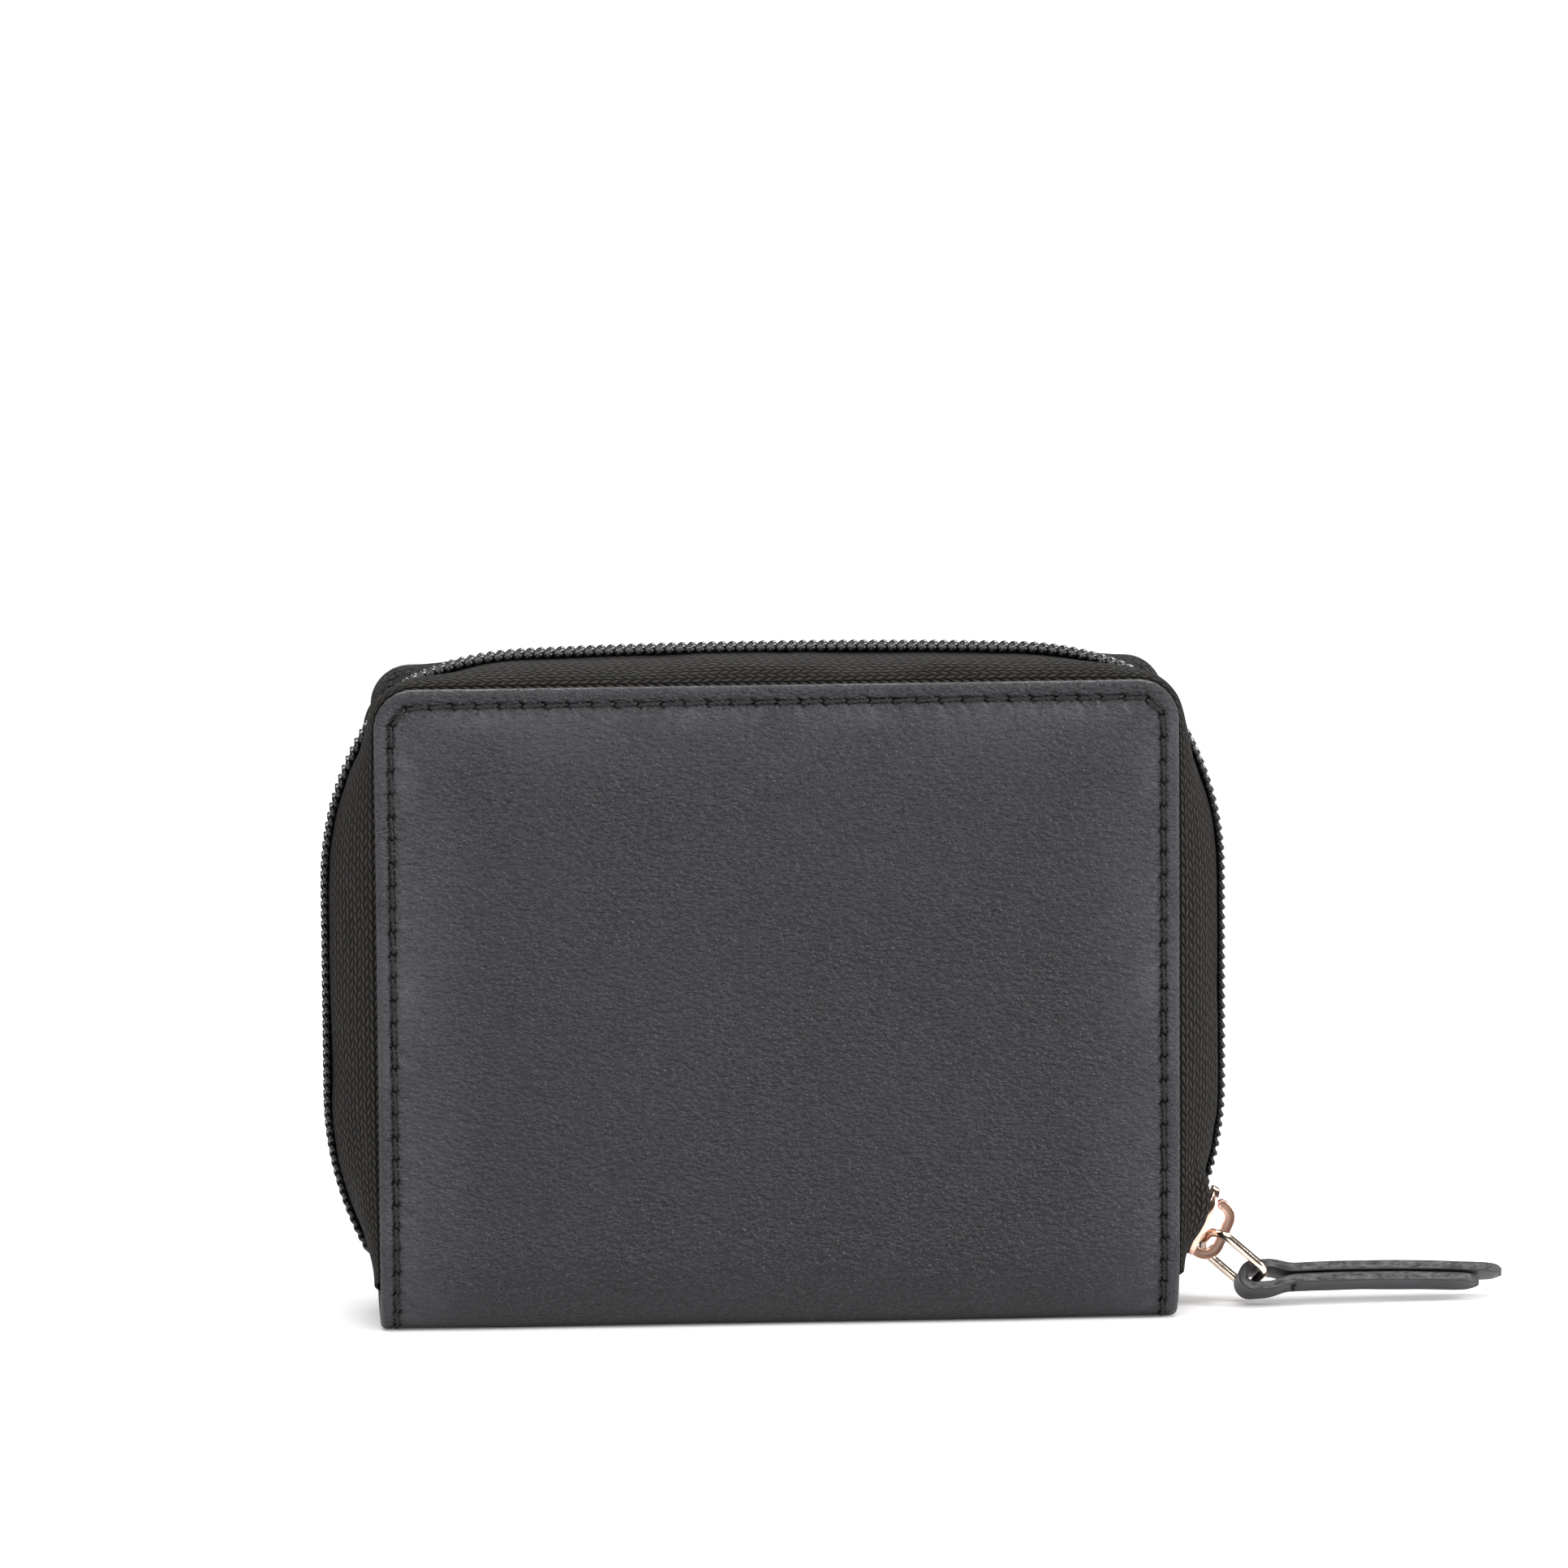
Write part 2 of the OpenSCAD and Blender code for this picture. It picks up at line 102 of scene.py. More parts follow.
def turn(x=0.0, y=0.0, z=0.0):
    """Rotation by x, then y, then z degrees, as a 4 x 4 array."""
    made = Matrix.Rotation(math.radians(z), 4, "Z") @ Matrix.Rotation(math.radians(y), 4, "Y")
    return np.array(made @ Matrix.Rotation(math.radians(x), 4, "X"))


def move(x=0.0, y=0.0, z=0.0):
    return np.array(Matrix.Translation((x, y, z)))


def placed(m, points):
    return np.asarray(points, float) @ m[:3, :3].T + m[:3, 3]


def unit(rows):
    return rows / np.linalg.norm(rows, axis=1)[:, None]


def tangents(line):
    return unit(np.gradient(line, axis=0))


def to_right(directions):
    """Directions in a plane, turned a quarter clockwise."""
    return np.stack([directions[:, 1], -directions[:, 0]], -1)


def lengths(line):
    """Distance along a line to each of its points."""
    return np.concatenate([[0], np.cumsum(np.linalg.norm(np.diff(line, axis=0), axis=1))])


def section_lengths(y, z):
    return np.concatenate([[0], np.cumsum(np.hypot(np.diff(y), np.diff(z)))])


# ---- meshes
def grid_faces(rows, columns, wrap=False):
    """Quads over rows x columns points; wrap joins the last column to the first."""
    i, j = np.meshgrid(np.arange(rows - 1), np.arange(columns - (0 if wrap else 1)), indexing="ij")
    k = (j + 1) % columns
    a, b = i * columns + j, i * columns + k
    return np.stack([a, b, b + columns, a + columns], -1).reshape(-1, 4)


def skin(rows, columns, way=1):
    """Quads over a grid that wraps round, and a face at each end; way -1 turns the ends over."""
    last = (rows - 1) * columns
    ends = [list(range(columns))[::way], [last + j for j in range(columns)][::-way]]
    return grid_faces(rows, columns, True).tolist() + ends


class Part:
    """Points, faces and point values gathered for one mesh."""

    def __init__(self):
        self.points, self.faces, self.flow, self.wear_and_painted_light = [], [], [], []
        self.count = 0

    def add(self, points, faces, flow=None, wear_and_painted_light=0.0, flip=False):
        points = np.asarray(points, float).reshape(-1, 3)
        faces = [tuple(int(k) + self.count for k in f) for f in faces]
        self.faces += [f[::-1] for f in faces] if flip else faces
        self.points.append(points)
        self.flow.append(points if flow is None else np.asarray(flow, float).reshape(-1, 3))
        self.wear_and_painted_light.append(np.broadcast_to(np.asarray(wear_and_painted_light, float).reshape(-1), (len(points),)))
        self.count += len(points)
        return self

    def make(self, name, material, slot, side=BACK):
        """The object, with y mirrored for the front half."""
        points = np.concatenate(self.points) * (1, side, 1)
        faces = self.faces if side == BACK else [f[::-1] for f in self.faces]
        mesh = bpy.data.meshes.new(name)
        mesh.from_pydata((points * MM).tolist(), [], faces)
        mesh.polygons.foreach_set("use_smooth", [True] * len(mesh.polygons))
        for key, kind, field, values in (("flow", "FLOAT_VECTOR", "vector", self.flow),
                                         ("wear_and_painted_light", "FLOAT", "value", self.wear_and_painted_light)):
            stored = mesh.attributes.new(key, kind, "POINT")
            stored.data.foreach_set(field, np.concatenate(values).astype(np.float32).ravel())
        mesh.materials.append(material)
        obj = bpy.data.objects.new(name, mesh)
        bpy.context.scene.collection.objects.link(obj)
        return obj


UNEVEN = (0.31, 0.52, 0.79)  # a direction that no wire here runs in


def tube(part, path, radius, sides=8, closed=False, flow_x=0.0):
    """Round wire along path; radius may change along it."""
    path = np.asarray(path, float)
    n = len(path)
    radius = np.broadcast_to(np.asarray(radius, float), (n,))
    tangent = unit(np.roll(path, -1, 0) - np.roll(path, 1, 0)) if closed else tangents(path)
    side = np.cross(tangent[0], UNEVEN)
    frames = []
    for t in tangent:
        side = side - t * side.dot(t)
        side /= np.linalg.norm(side)
        frames.append((side, np.cross(t, side)))
    frames = np.array(frames)
    a = np.linspace(0, 2 * math.pi, sides, endpoint=False)
    around = frames[:, None, 0] * np.cos(a)[None, :, None] + frames[:, None, 1] * np.sin(a)[None, :, None]
    points = path[:, None] + around * radius[:, None, None]
    faces = skin(n, sides, -1)
    if closed:
        last = (n - 1) * sides
        shift = int(((points[-1] - points[0, 0]) ** 2).sum(1).argmin())
        faces[-2:] = [[last + (j + shift) % sides, last + (j + 1 + shift) % sides, (j + 1) % sides, j]
                      for j in range(sides)]
    flow = np.stack([np.broadcast_to(lengths(path)[:, None] + flow_x, (n, sides)),
                     np.broadcast_to(a[None] * radius.mean(), (n, sides)), np.zeros((n, sides))], -1)
    return part.add(points, faces, flow)


def chaikin(points, rounds=3, closed=False):
    """Cuts corners, keeping the ends of an open line."""
    points = np.asarray(points, float)
    for _ in range(rounds):
        following = np.roll(points, -1, 0) if closed else points[1:]
        here = points if closed else points[:-1]
        cut = np.stack([0.75 * here + 0.25 * following, 0.25 * here + 0.75 * following], 1)
        cut = cut.reshape(-1, points.shape[1])
        points = cut if closed else np.concatenate([points[:1], cut[1:-1], points[-1:]])
    return points


def even(path, step):
    """The same line with evenly spaced points."""
    length = lengths(path)
    at = np.linspace(0, length[-1], max(2, int(round(length[-1] / step)) + 1))
    return np.stack([np.interp(at, length, path[:, k]) for k in range(path.shape[1])], -1)


# ---- materials
class Shader:
    """A node material with the Principled shader's plain values set directly."""

    def __init__(self, name, **values):
        self.material = bpy.data.materials.new(name)
        self.material.use_nodes = True
        self.tree = self.material.node_tree
        self.surface = self.tree.nodes["Principled BSDF"]
        for key, value in values.items():
            self.set(key.replace("_", " "), value)
        self.normal = None

    def set(self, key, value):
        self.put(self.surface.inputs[key], value)

    def put(self, socket, value):
        if isinstance(value, bpy.types.NodeSocket):
            self.tree.links.new(value, socket)
        else:
            socket.default_value = value

    def node(self, kind, inputs, **settings):
        made = self.tree.nodes.new(kind)
        for key, value in settings.items():
            setattr(made, key, value)
        for key, value in inputs.items():
            self.put(made.inputs[key], value)
        return made

    def math(self, operation, a, b=0.0):
        return self.node("ShaderNodeMath", {0: a, 1: b}, operation=operation).outputs[0]

    def times(self, a, b):
        return self.math("MULTIPLY", a, b)

    def plus(self, a, b):
        return self.math("ADD", a, b)

    def minus(self, a, b):
        return self.math("SUBTRACT", a, b)

    def value(self, name):
        return self.node("ShaderNodeAttribute", {}, attribute_name=name).outputs

    def flow(self, scale=(1, 1, 1), rotation=0.0):
        vector = self.value("flow")["Vector"]
        turned = self.node("ShaderNodeMapping", {"Vector": vector, "Rotation": (0, 0, rotation),
                                                 "Scale": scale})
        return turned.outputs[0]

    def noise(self, vector, size, detail=2.0, rough=0.5):
        made = self.node("ShaderNodeTexNoise", {"Vector": vector, "Scale": 1 / size, "Detail": detail,
                                                "Roughness": rough})
        return made.outputs["Fac"]

    def cells(self, vector, size, feature="F1"):
        made = self.node("ShaderNodeTexVoronoi", {"Vector": vector, "Scale": 1 / size}, feature=feature)
        return made.outputs["Distance"]

    def span(self, value, lo, hi, to_lo=0.0, to_hi=1.0):
        made = self.node("ShaderNodeMapRange", {"Value": value, "From Min": lo, "From Max": hi,
                                                "To Min": to_lo, "To Max": to_hi})
        return made.outputs[0]

    def blend(self, factor, a, b):
        made = self.node("ShaderNodeMix", {0: factor}, data_type="RGBA")
        self.put(made.inputs[6], a)
        self.put(made.inputs[7], b)
        return made.outputs[2]

    def bump(self, height, depth, strength=1.0):
        inputs = {"Height": height, "Distance": depth * MM, "Strength": strength}
        if self.normal is not None:
            inputs["Normal"] = self.normal
        self.normal = self.node("ShaderNodeBump", inputs).outputs[0]
        self.set("Normal", self.normal)


def rgb(r, g, b):
    return (r, g, b, 1.0)


def scaled(colour, by):
    return tuple(c * by for c in colour[:3]) + (1,)


def leather(name, dark, light, rough, grain):
    """Pebbled leather, paler where it is stretched or rubbed and where highlights are painted on, and black
    where shade is painted in (values below zero).
    """
    s = Shader(name, Specular_IOR_Level=0.27)
    flow = s.flow()
    slanted = s.flow((1, 1.7, 1), math.radians(22))
    clouds = s.noise(flow, 16, 3)
    fine = s.noise(slanted, 0.34, 3, 0.65)
    wear_and_painted_light = s.value("wear_and_painted_light")["Fac"]
    base = s.blend(s.span(clouds, 0.35, 0.65), dark, scaled(dark, 1.28))
    base = s.blend(s.span(fine, 0.5, 0.72, 0, 0.6), base, light)
    # paler by the stored value: rubbed edges and painted highlights
    base = s.blend(s.span(wear_and_painted_light, 0, 1), base, light)
    # painted shade: values below zero turn the colour near black, in stitch holes and the seam groove
    s.set("Base Color", s.blend(s.span(wear_and_painted_light, 0, -1), base, rgb(0.0015, 0.0015, 0.0015)))
    s.set("Roughness", s.plus(s.span(clouds, 0.3, 0.7, rough - 0.06, rough + 0.06),
                              s.span(fine, 0.3, 0.7, -0.03, 0.03)))
    s.bump(s.noise(flow, 3.2, 3), 0.12, 0.6)
    s.bump(s.cells(slanted, 0.7, "SMOOTH_F1"), 0.24 * grain, 1.0)
    s.bump(s.cells(slanted, 0.36), 0.13 * grain, 1.0)
    return s.material


def cut_leather(name):
    """The puller's leather: smooth faces and, where the stored point value is 1, rough grey cut edges."""
    s = Shader(name, Specular_IOR_Level=0.4)
    flow = s.flow()
    along = s.flow((0.35, 1, 1))
    cut = s.value("wear_and_painted_light")["Fac"]
    crumbs = s.noise(along, 0.5, 4, 0.65)
    face = s.blend(s.span(s.noise(flow, 5), 0.35, 0.65), rgb(0.016, 0.0155, 0.019), rgb(0.026, 0.025, 0.03))
    edge = s.blend(s.span(crumbs, 0.38, 0.62), rgb(0.022, 0.021, 0.022), rgb(0.09, 0.087, 0.088))
    s.set("Base Color", s.blend(cut, face, edge))
    s.set("Roughness", s.span(cut, 0, 1, 0.46, 0.8))
    s.bump(s.cells(flow, 0.4), 0.015)
    s.bump(s.times(crumbs, cut), 0.16)
    return s.material


def weave(s, across, along, lean):
    """Height of slanted bars of yarn in columns whose lean alternates. The flow runs along x."""
    flow = s.flow()
    wobble = s.times(s.minus(s.noise(flow, 0.9, 1), 0.5), 0.55)
    split = s.node("ShaderNodeSeparateXYZ", {0: flow}).outputs
    v = s.plus(s.math("DIVIDE", split[1], across), s.times(wobble, 0.35))
    column = s.math("FLOOR", v)
    f = s.minus(s.minus(v, column), 0.5)
    way = s.minus(s.times(s.math("MODULO", s.math("ABSOLUTE", column), 2), 2), 1)
    slant = s.times(s.times(way, f), lean)
    x = s.plus(s.math("DIVIDE", split[0], along), s.plus(slant, wobble))
    x = s.plus(x, s.times(column, 0.37))
    bar = s.math("ABSOLUTE", s.math("SINE", s.times(x, math.pi)))
    edge = s.minus(1, s.math("POWER", s.math("ABSOLUTE", s.times(f, 2)), 3))
    return s.times(s.math("POWER", bar, 0.9), edge)


def tape_cloth():
    s = Shader("woven_tape", Specular_IOR_Level=0.12, Sheen_Weight=0.02, Sheen_Roughness=0.5)
    height = weave(s, 0.62, 1.25, 0.8)
    flow = s.flow((0.3, 1, 1))
    hairs = s.noise(flow, 0.16, 3, 0.6)
    # painted shade: near black in the low gaps between the yarn bars, the yarn colour on the bars
    base = s.blend(s.span(height, 0.35, 0.95), rgb(0.0008, 0.0007, 0.0006), rgb(0.031, 0.0262, 0.0225))
    s.set("Base Color", s.blend(s.span(hairs, 0.52, 0.8, 0, 0.35), base, rgb(0.052, 0.045, 0.038)))
    s.set("Roughness", s.span(hairs, 0.3, 0.7, 0.62, 0.9))
    s.bump(height, 0.42)
    s.bump(hairs, 0.04)
    return s.material


def lining_cloth():
    """Plain woven lining: over and under yarns in both directions."""
    s = Shader("lining_fabric", Specular_IOR_Level=0.3, Sheen_Weight=0.15, Sheen_Roughness=0.4)
    split = s.node("ShaderNodeSeparateXYZ", {0: s.flow()}).outputs
    waves = [s.math("SINE", s.times(split[k], math.pi / 0.32)) for k in (0, 1)]
    height = s.math("ABSOLUTE", s.times(*waves))
    slubs = s.noise(s.flow((0.12, 1, 1)), 0.5, 2)
    # painted shade: darker where the yarns dip between crossings
    base = s.blend(height, rgb(0.008, 0.008, 0.009), rgb(0.028, 0.028, 0.031))
    s.set("Base Color", s.blend(s.span(slubs, 0.5, 0.72, 0, 0.6), base, rgb(0.045, 0.045, 0.05)))
    s.set("Roughness", s.span(slubs, 0.3, 0.7, 0.5, 0.72))
    s.bump(height, 0.05)
    return s.material


def nylon():
    s = Shader("nylon_coil", Specular_IOR_Level=0.3, Coat_Weight=0.05, Coat_Roughness=0.1)
    flow = s.flow()
    patches = s.noise(flow, 1.4, 2)
    s.set("Base Color", s.blend(patches, rgb(0.0035, 0.0035, 0.0035), rgb(0.010, 0.010, 0.0105)))
    s.set("Roughness", s.span(patches, 0.3, 0.7, 0.16, 0.3))
    s.bump(s.noise(flow, 0.25, 2), 0.008)
    return s.material


def thread():
    s = Shader("sewing_thread", Specular_IOR_Level=0.34)
    fibres = s.noise(s.flow((0.4, 4, 1)), 0.12, 2)
    s.set("Base Color", s.blend(fibres, rgb(0.0015, 0.0015, 0.002), rgb(0.010, 0.010, 0.0115)))
    s.set("Roughness", s.span(fibres, 0.3, 0.7, 0.3, 0.5))
    s.bump(fibres, 0.03)
    return s.material


def metal(name, bright, rough, dents):
    """Plated metal with fine scuffs; dents above zero make it grainy, as in the hook's sunk faces."""
    s = Shader(name, Metallic=1.0)
    flow = s.flow()
    scuffs = s.noise(s.flow((0.2, 2, 1), 0.6), 0.5, 4, 0.6)
    s.bump(s.noise(s.flow((0.6, 1, 1)), 1.1, 1), 0.05)
    cloud = s.noise(flow, 1.6, 2)
    s.set("Base Color", s.blend(s.span(cloud, 0.35, 0.65), bright, scaled(bright, 0.86)))
    s.set("Roughness", s.span(scuffs, 0.35, 0.7, rough, rough + 0.1))
    s.bump(scuffs, 0.004)
    if dents:
        s.bump(s.noise(flow, 0.22, 3, 0.7), dents)
    return s.material


def fibre_board():
    s = Shader("stiffener_board", Roughness=0.85)
    flow = s.node("ShaderNodeTexCoord", {}).outputs["Object"]
    fibres = s.noise(flow, 0.9 * MM, 4, 0.7)
    s.set("Base Color", s.blend(fibres, rgb(0.28, 0.22, 0.16), rgb(0.5, 0.42, 0.33)))
    s.bump(fibres, 0.1)
    return s.material


MATERIALS = {
    "outer": leather("outer_leather", rgb(0.0096, 0.0091, 0.0113), rgb(0.058, 0.056, 0.063), 0.4, 1.25),
    "pocket": leather("pocket_leather", rgb(0.012, 0.0117, 0.0135), rgb(0.05, 0.049, 0.054), 0.48, 0.8),
    "puller": cut_leather("puller_leather"),
    "tape": tape_cloth(),
    "lining": lining_cloth(),
    "nylon": nylon(),
    "thread": thread(),
    "gold": metal("rose_gold_metal", rgb(0.92, 0.62, 0.50), 0.12, 0),
    "pale_gold": metal("pale_gold_wire", rgb(0.93, 0.78, 0.66), 0.13, 0),
    "grain_gold": metal("grained_gold", rgb(0.36, 0.23, 0.18), 0.42, 0.05),
    "board": fibre_board(),
}
SLOT = {"outer": "outer_leather", "pocket": "pocket_leather", "puller": "outer_leather",
        "tape": "woven_tape", "lining": "lining_fabric", "nylon": "nylon_coil",
        "thread": "sewing_thread", "gold": "rose_gold_metal", "pale_gold": "rose_gold_metal",
        "grain_gold": "rose_gold_metal"}


def make(part, name, kind, side=BACK):
    return part.make(name, MATERIALS[kind], SLOT[kind], side)


def fitted(part, name, kind, side, body, *nodes):
    """Makes a piece that rides on a body and stands in for CAD nodes."""
    piece = make(part, name, kind, side)
    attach(piece, body)
    if nodes:
        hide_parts(*nodes)


# ---- sheets with turned edges
class Sheet:
    """A flat sheet x across, t up, whose top corners are round and whose sides and top are turned in.

    a is the distance in from the edge, s along the stitch line, depth how far behind the face."""

    def __init__(self, half_w, length, corner, step, edge_r, wall, lip):
        self.half_w, self.length, self.corner = half_w, length, corner
        self.side, self.bend, self.top = length - corner, corner - STITCH_IN, 2 * (half_w - corner)
        turned = [(-1.0, lip, wall - 0.02), (-0.8, lip * 0.5, wall), (-0.6, 0.15 * lip, wall - 0.08),
                  (-0.4, 0.02, wall - 0.3), (-0.2, 0.0, (wall + edge_r) / 2)]
        rim = edge_r * (1 - np.cos(np.linspace(0, math.pi / 2, 7)))
        self.ring_a = np.array([r[0] for r in turned] + list(rim))
        self.ring_d = np.array([r[1] for r in turned] + list(rim))
        sunk = edge_r - np.sqrt(np.maximum(edge_r**2 - (edge_r - rim) ** 2, 0))
        self.ring_y = np.array([r[2] for r in turned] + list(sunk))
        inner = np.linspace(edge_r, half_w, int((half_w - edge_r) / step) + 1)[1:]
        across = np.concatenate([self.ring_a, inner])
        ax = np.concatenate([across, across[-2::-1]])
        sign = np.concatenate([np.full(len(across), 1.0), np.full(len(across) - 1, -1.0)])
        up = np.linspace(0, length - edge_r, int((length - edge_r) / step) + 1)
        az = np.concatenate([length - up, self.ring_a[::-1][1:]])
        self.ax, self.az = np.meshgrid(ax, az)
        self.sign = np.broadcast_to(sign, self.ax.shape)
        self.place()

    def place(self):
        r, m = self.corner, np.minimum(self.ax, self.az)
        past_rim = m > self.ring_a[-1]
        inset = np.where(past_rim, m, np.interp(m, self.ring_a, self.ring_d))
        self.depth = np.where(past_rim, 0, np.interp(m, self.ring_a, self.ring_y))
        at_corner = (self.ax < r) & (self.az < r)
        side_first = self.ax <= self.az
        span = np.maximum(r - m, 1e-9)
        f = np.where(side_first, 0.5 * (r - self.az) / span, 1 - 0.5 * (r - self.ax) / span)
        angle = f * math.pi / 2
        arm = r - inset
        dx = np.where(at_corner, r - arm * np.cos(angle), np.where(side_first, inset, self.ax))
        dz = np.where(at_corner, r - arm * np.sin(angle), np.where(side_first, self.az, inset))
        self.x = self.sign * (self.half_w - dx)
        self.t = self.length - dz
        self.a = m
        self.s = self.along(self.half_w - dx, self.t, at_corner, angle, side_first)

    def along(self, x, t, at_corner, angle, side_first):
        """Distance along the stitch line from the bottom of the sheet's side."""
        corner_s = self.side + self.bend * angle
        top_s = self.side + self.bend * math.pi / 2 + (self.half_w - self.corner - x)
        return np.where(at_corner, corner_s, np.where(side_first, t, top_s))

    def stitch_line(self):
        """Holes along the stitch line, as x and t."""
        total = 2 * self.side + math.pi * self.bend + self.top
        count = int(round(total / STITCH_LEN))
        self.pitch = total / count
        return [self.stitch_point(i * self.pitch) for i in range(count + 1)]

    def stitch_point(self, s):
        side, bend, top = self.side, self.bend, self.top
        arc, cx = bend * math.pi / 2, top / 2
        if s <= side:
            return cx + bend, s
        if s <= side + arc:
            a = (s - side) / bend
            return cx + bend * math.cos(a), side + bend * math.sin(a)
        if s <= side + arc + top:
            return cx - (s - side - arc), side + bend
        back = self.stitch_point(2 * (side + arc) + top - s)
        return -back[0], back[1]


# ---- outer leather
def roll_table():
    """The cover's section from the middle of the spine up to the top: t, y, z and the outward normal."""
    phi = np.linspace(0, math.pi / 2, 60)
    ry, rz = SPINE_Y - FACE_Y, ROLL_H
    y = np.concatenate([[0.0], SPINE_Y - ry * np.sin(phi), [FACE_Y]])
    z = np.concatenate([[0.0], rz * (1 - np.cos(phi)), [TOP_Z]])
    ny = np.concatenate([[0.0], -np.sin(phi) / ry, [-1.0]])
    nz = np.concatenate([[-1.0], -np.cos(phi) / rz, [0.0]])
    size = np.hypot(ny, nz)
    return section_lengths(y, z), y, z, ny / size, nz / size


ROLL = roll_table()
SHEET_T = ROLL[0][-1]


def on_cover(x, t, depth):
    """Point on the cover, depth below its face."""
    y, z, ny, nz = (np.interp(t, ROLL[0], column) for column in ROLL[1:])
    above = np.maximum(t - SHEET_T, 0)
    size = np.hypot(ny, nz)
    return np.stack([x, y - ny / size * depth, z + above - nz / size * depth], -1)


def hole_offset(sheet):
    """Distance along the seam from the nearest hole, which slants across it."""
    k = sheet.s / sheet.pitch
    return (k - np.round(k)) * sheet.pitch + 0.45 * sheet.sign * (sheet.a - STITCH_IN)


def cover_relief(sheet, seed):
    """How far the leather sinks below its face: seam, holes, puckers and slow waves."""
    x, t, a, s = sheet.x, sheet.t, sheet.a, sheet.s
    free = smooth(t, 3, 14)
    k = s / sheet.pitch
    hole = hole_offset(sheet)
    pull = 0.75 + 0.45 * noise(s / 4.1, np.sign(x) * 3 + 9, seed) * free
    sink = 0.05 * bell(a, STITCH_IN, 0.36) + 0.40 * bell(hole, 0, 0.30) * bell(a, STITCH_IN, 0.42)
    sink += 0.17 * np.where(a > STITCH_IN, np.exp(-(a - STITCH_IN) / 1.3), 0) * pull
    sink += 0.17 * np.where(a <= STITCH_IN, bell(a, STITCH_IN, 0.5), 0)
    past = np.maximum(a - STITCH_IN, 0)
    crease = bell(hole + 0.25 * noise(k, 4, seed + 8) * past, 0, 0.22 + 0.10 * past)
    sink += 0.13 * crease * smooth(a, 2.1, 2.5) * np.exp(-past / (1.1 + 0.5 * noise(k, 1, seed + 9))) * pull
    sink -= 0.07 * bell(hole, sheet.pitch / 2, 0.7) * smooth(a, 2.2, 2.9) * np.exp(-past / 1.4) * pull
    streak = np.maximum(noise(s / 0.75 + 0.5 * a, 5 + a / 9, seed + 1), 0) ** 2
    reach = 3.2 + 2.6 * noise(s / 6, 2, seed + 2)
    sink += 0.09 * streak * smooth(a, 2.0, 3.0) * np.exp(-np.maximum(a - 2.5, 0) / reach) * free
    inside = smooth(a, 2.5, 12) * free
    sink += 0.36 * inside * noise(x / 27, t / 24, seed + 3) + 0.09 * inside * noise(x / 11, t / 10, seed + 4)
    sink += 0.05 * noise(x / 14, t / 14, seed + 5) * smooth(a, 0, 0.6) * free
    sink -= 0.4 * smooth(a, 3, 26) * free
    return sink


def cover_wear_and_painted_light(sheet, seed):
    """Paler leather on the edge and beside the holes, painted highlights in a broad band inside the seam and
    on the side rims, and painted shade, black, in the holes and the seam's groove (below zero).
    """
    a, s = sheet.a, sheet.s
    hole = hole_offset(sheet)
    patch = 0.75 + 0.35 * noise(s / 5, a / 3, seed + 7)
    wear_and_painted_light = (0.34 * bell(a, 0.22, 0.2) + 0.24 * bell(a, 3.6, 1.7)) * patch
    wear_and_painted_light += 0.22 * bell(a, 6.5, 4.5) * patch  # painted highlight: a broad paler band inside the seam
    # painted highlight: the side rims made paler than the top rim
    wear_and_painted_light += 0.35 * smooth(sheet.az - sheet.ax, -1, 2) * bell(a, 0.9, 0.7) * patch
    wear_and_painted_light += 0.5 * bell(hole, 0.32, 0.26) * bell(a, 3.0, 0.75) * patch
    wear_and_painted_light += 0.22 * np.maximum(noise(s / 1.1 + a / 3, a / 3, seed + 12), 0) * bell(a, 3.6, 2.0)
    # painted shade: black in the stitch holes and along the seam's groove
    black = bell(hole, 0, 0.34) * bell(a, STITCH_IN, 0.46)
    groove = 0.6 * bell(a, STITCH_IN, 0.34)
    dark = np.maximum(black * 1.4, groove)
    return np.where(dark > 0.3, -np.clip(dark, 0, 1), np.clip(wear_and_painted_light, 0, 1))


def two_ply(part, path, radius, start=0.0):
    """Thread of two strands twisted along path."""
    tangent = tangents(path)
    up = unit(np.cross(tangent, np.cross((0.02, -1.0, 0.03), tangent)))
    side = np.cross(tangent, up)
    for strand in (0, math.pi):
        a = (lengths(path) * 2 * math.pi / (radius * 7) + strand + start)[:, None]
        centre = path + (np.cos(a) * up + np.sin(a) * side) * radius * 0.5
        tube(part, centre, radius * 0.6, 6, flow_x=strand * 7)


def stitches(part, surface, holes, thread_r, skip=0.12):
    """Stitches from hole to hole over surface(x, t, depth), each a little slanted."""
    for (x0, t0), (x1, t1) in zip(holes[:-1], holes[1:]):
        dx, dt = x1 - x0, t1 - t0
        size = math.hypot(dx, dt)
        nx, nt = dt / size * 0.09, -dx / size * 0.09
        f = np.linspace(skip - 0.08, 1 - skip + 0.08, 13)
        lift = 1 - np.abs(2 * f - 1) ** 6
        x = x0 + dx * f + nx * (1 - 2 * f)
        t = t0 + dt * f + nt * (1 - 2 * f)
        depth = 0.60 - 0.52 * np.clip(lift * 1.6, 0, 1)
        two_ply(part, surface(x, t, depth), thread_r, start=x0 + 2 * t0)


def bend_with_spine(obj):
    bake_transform(obj)


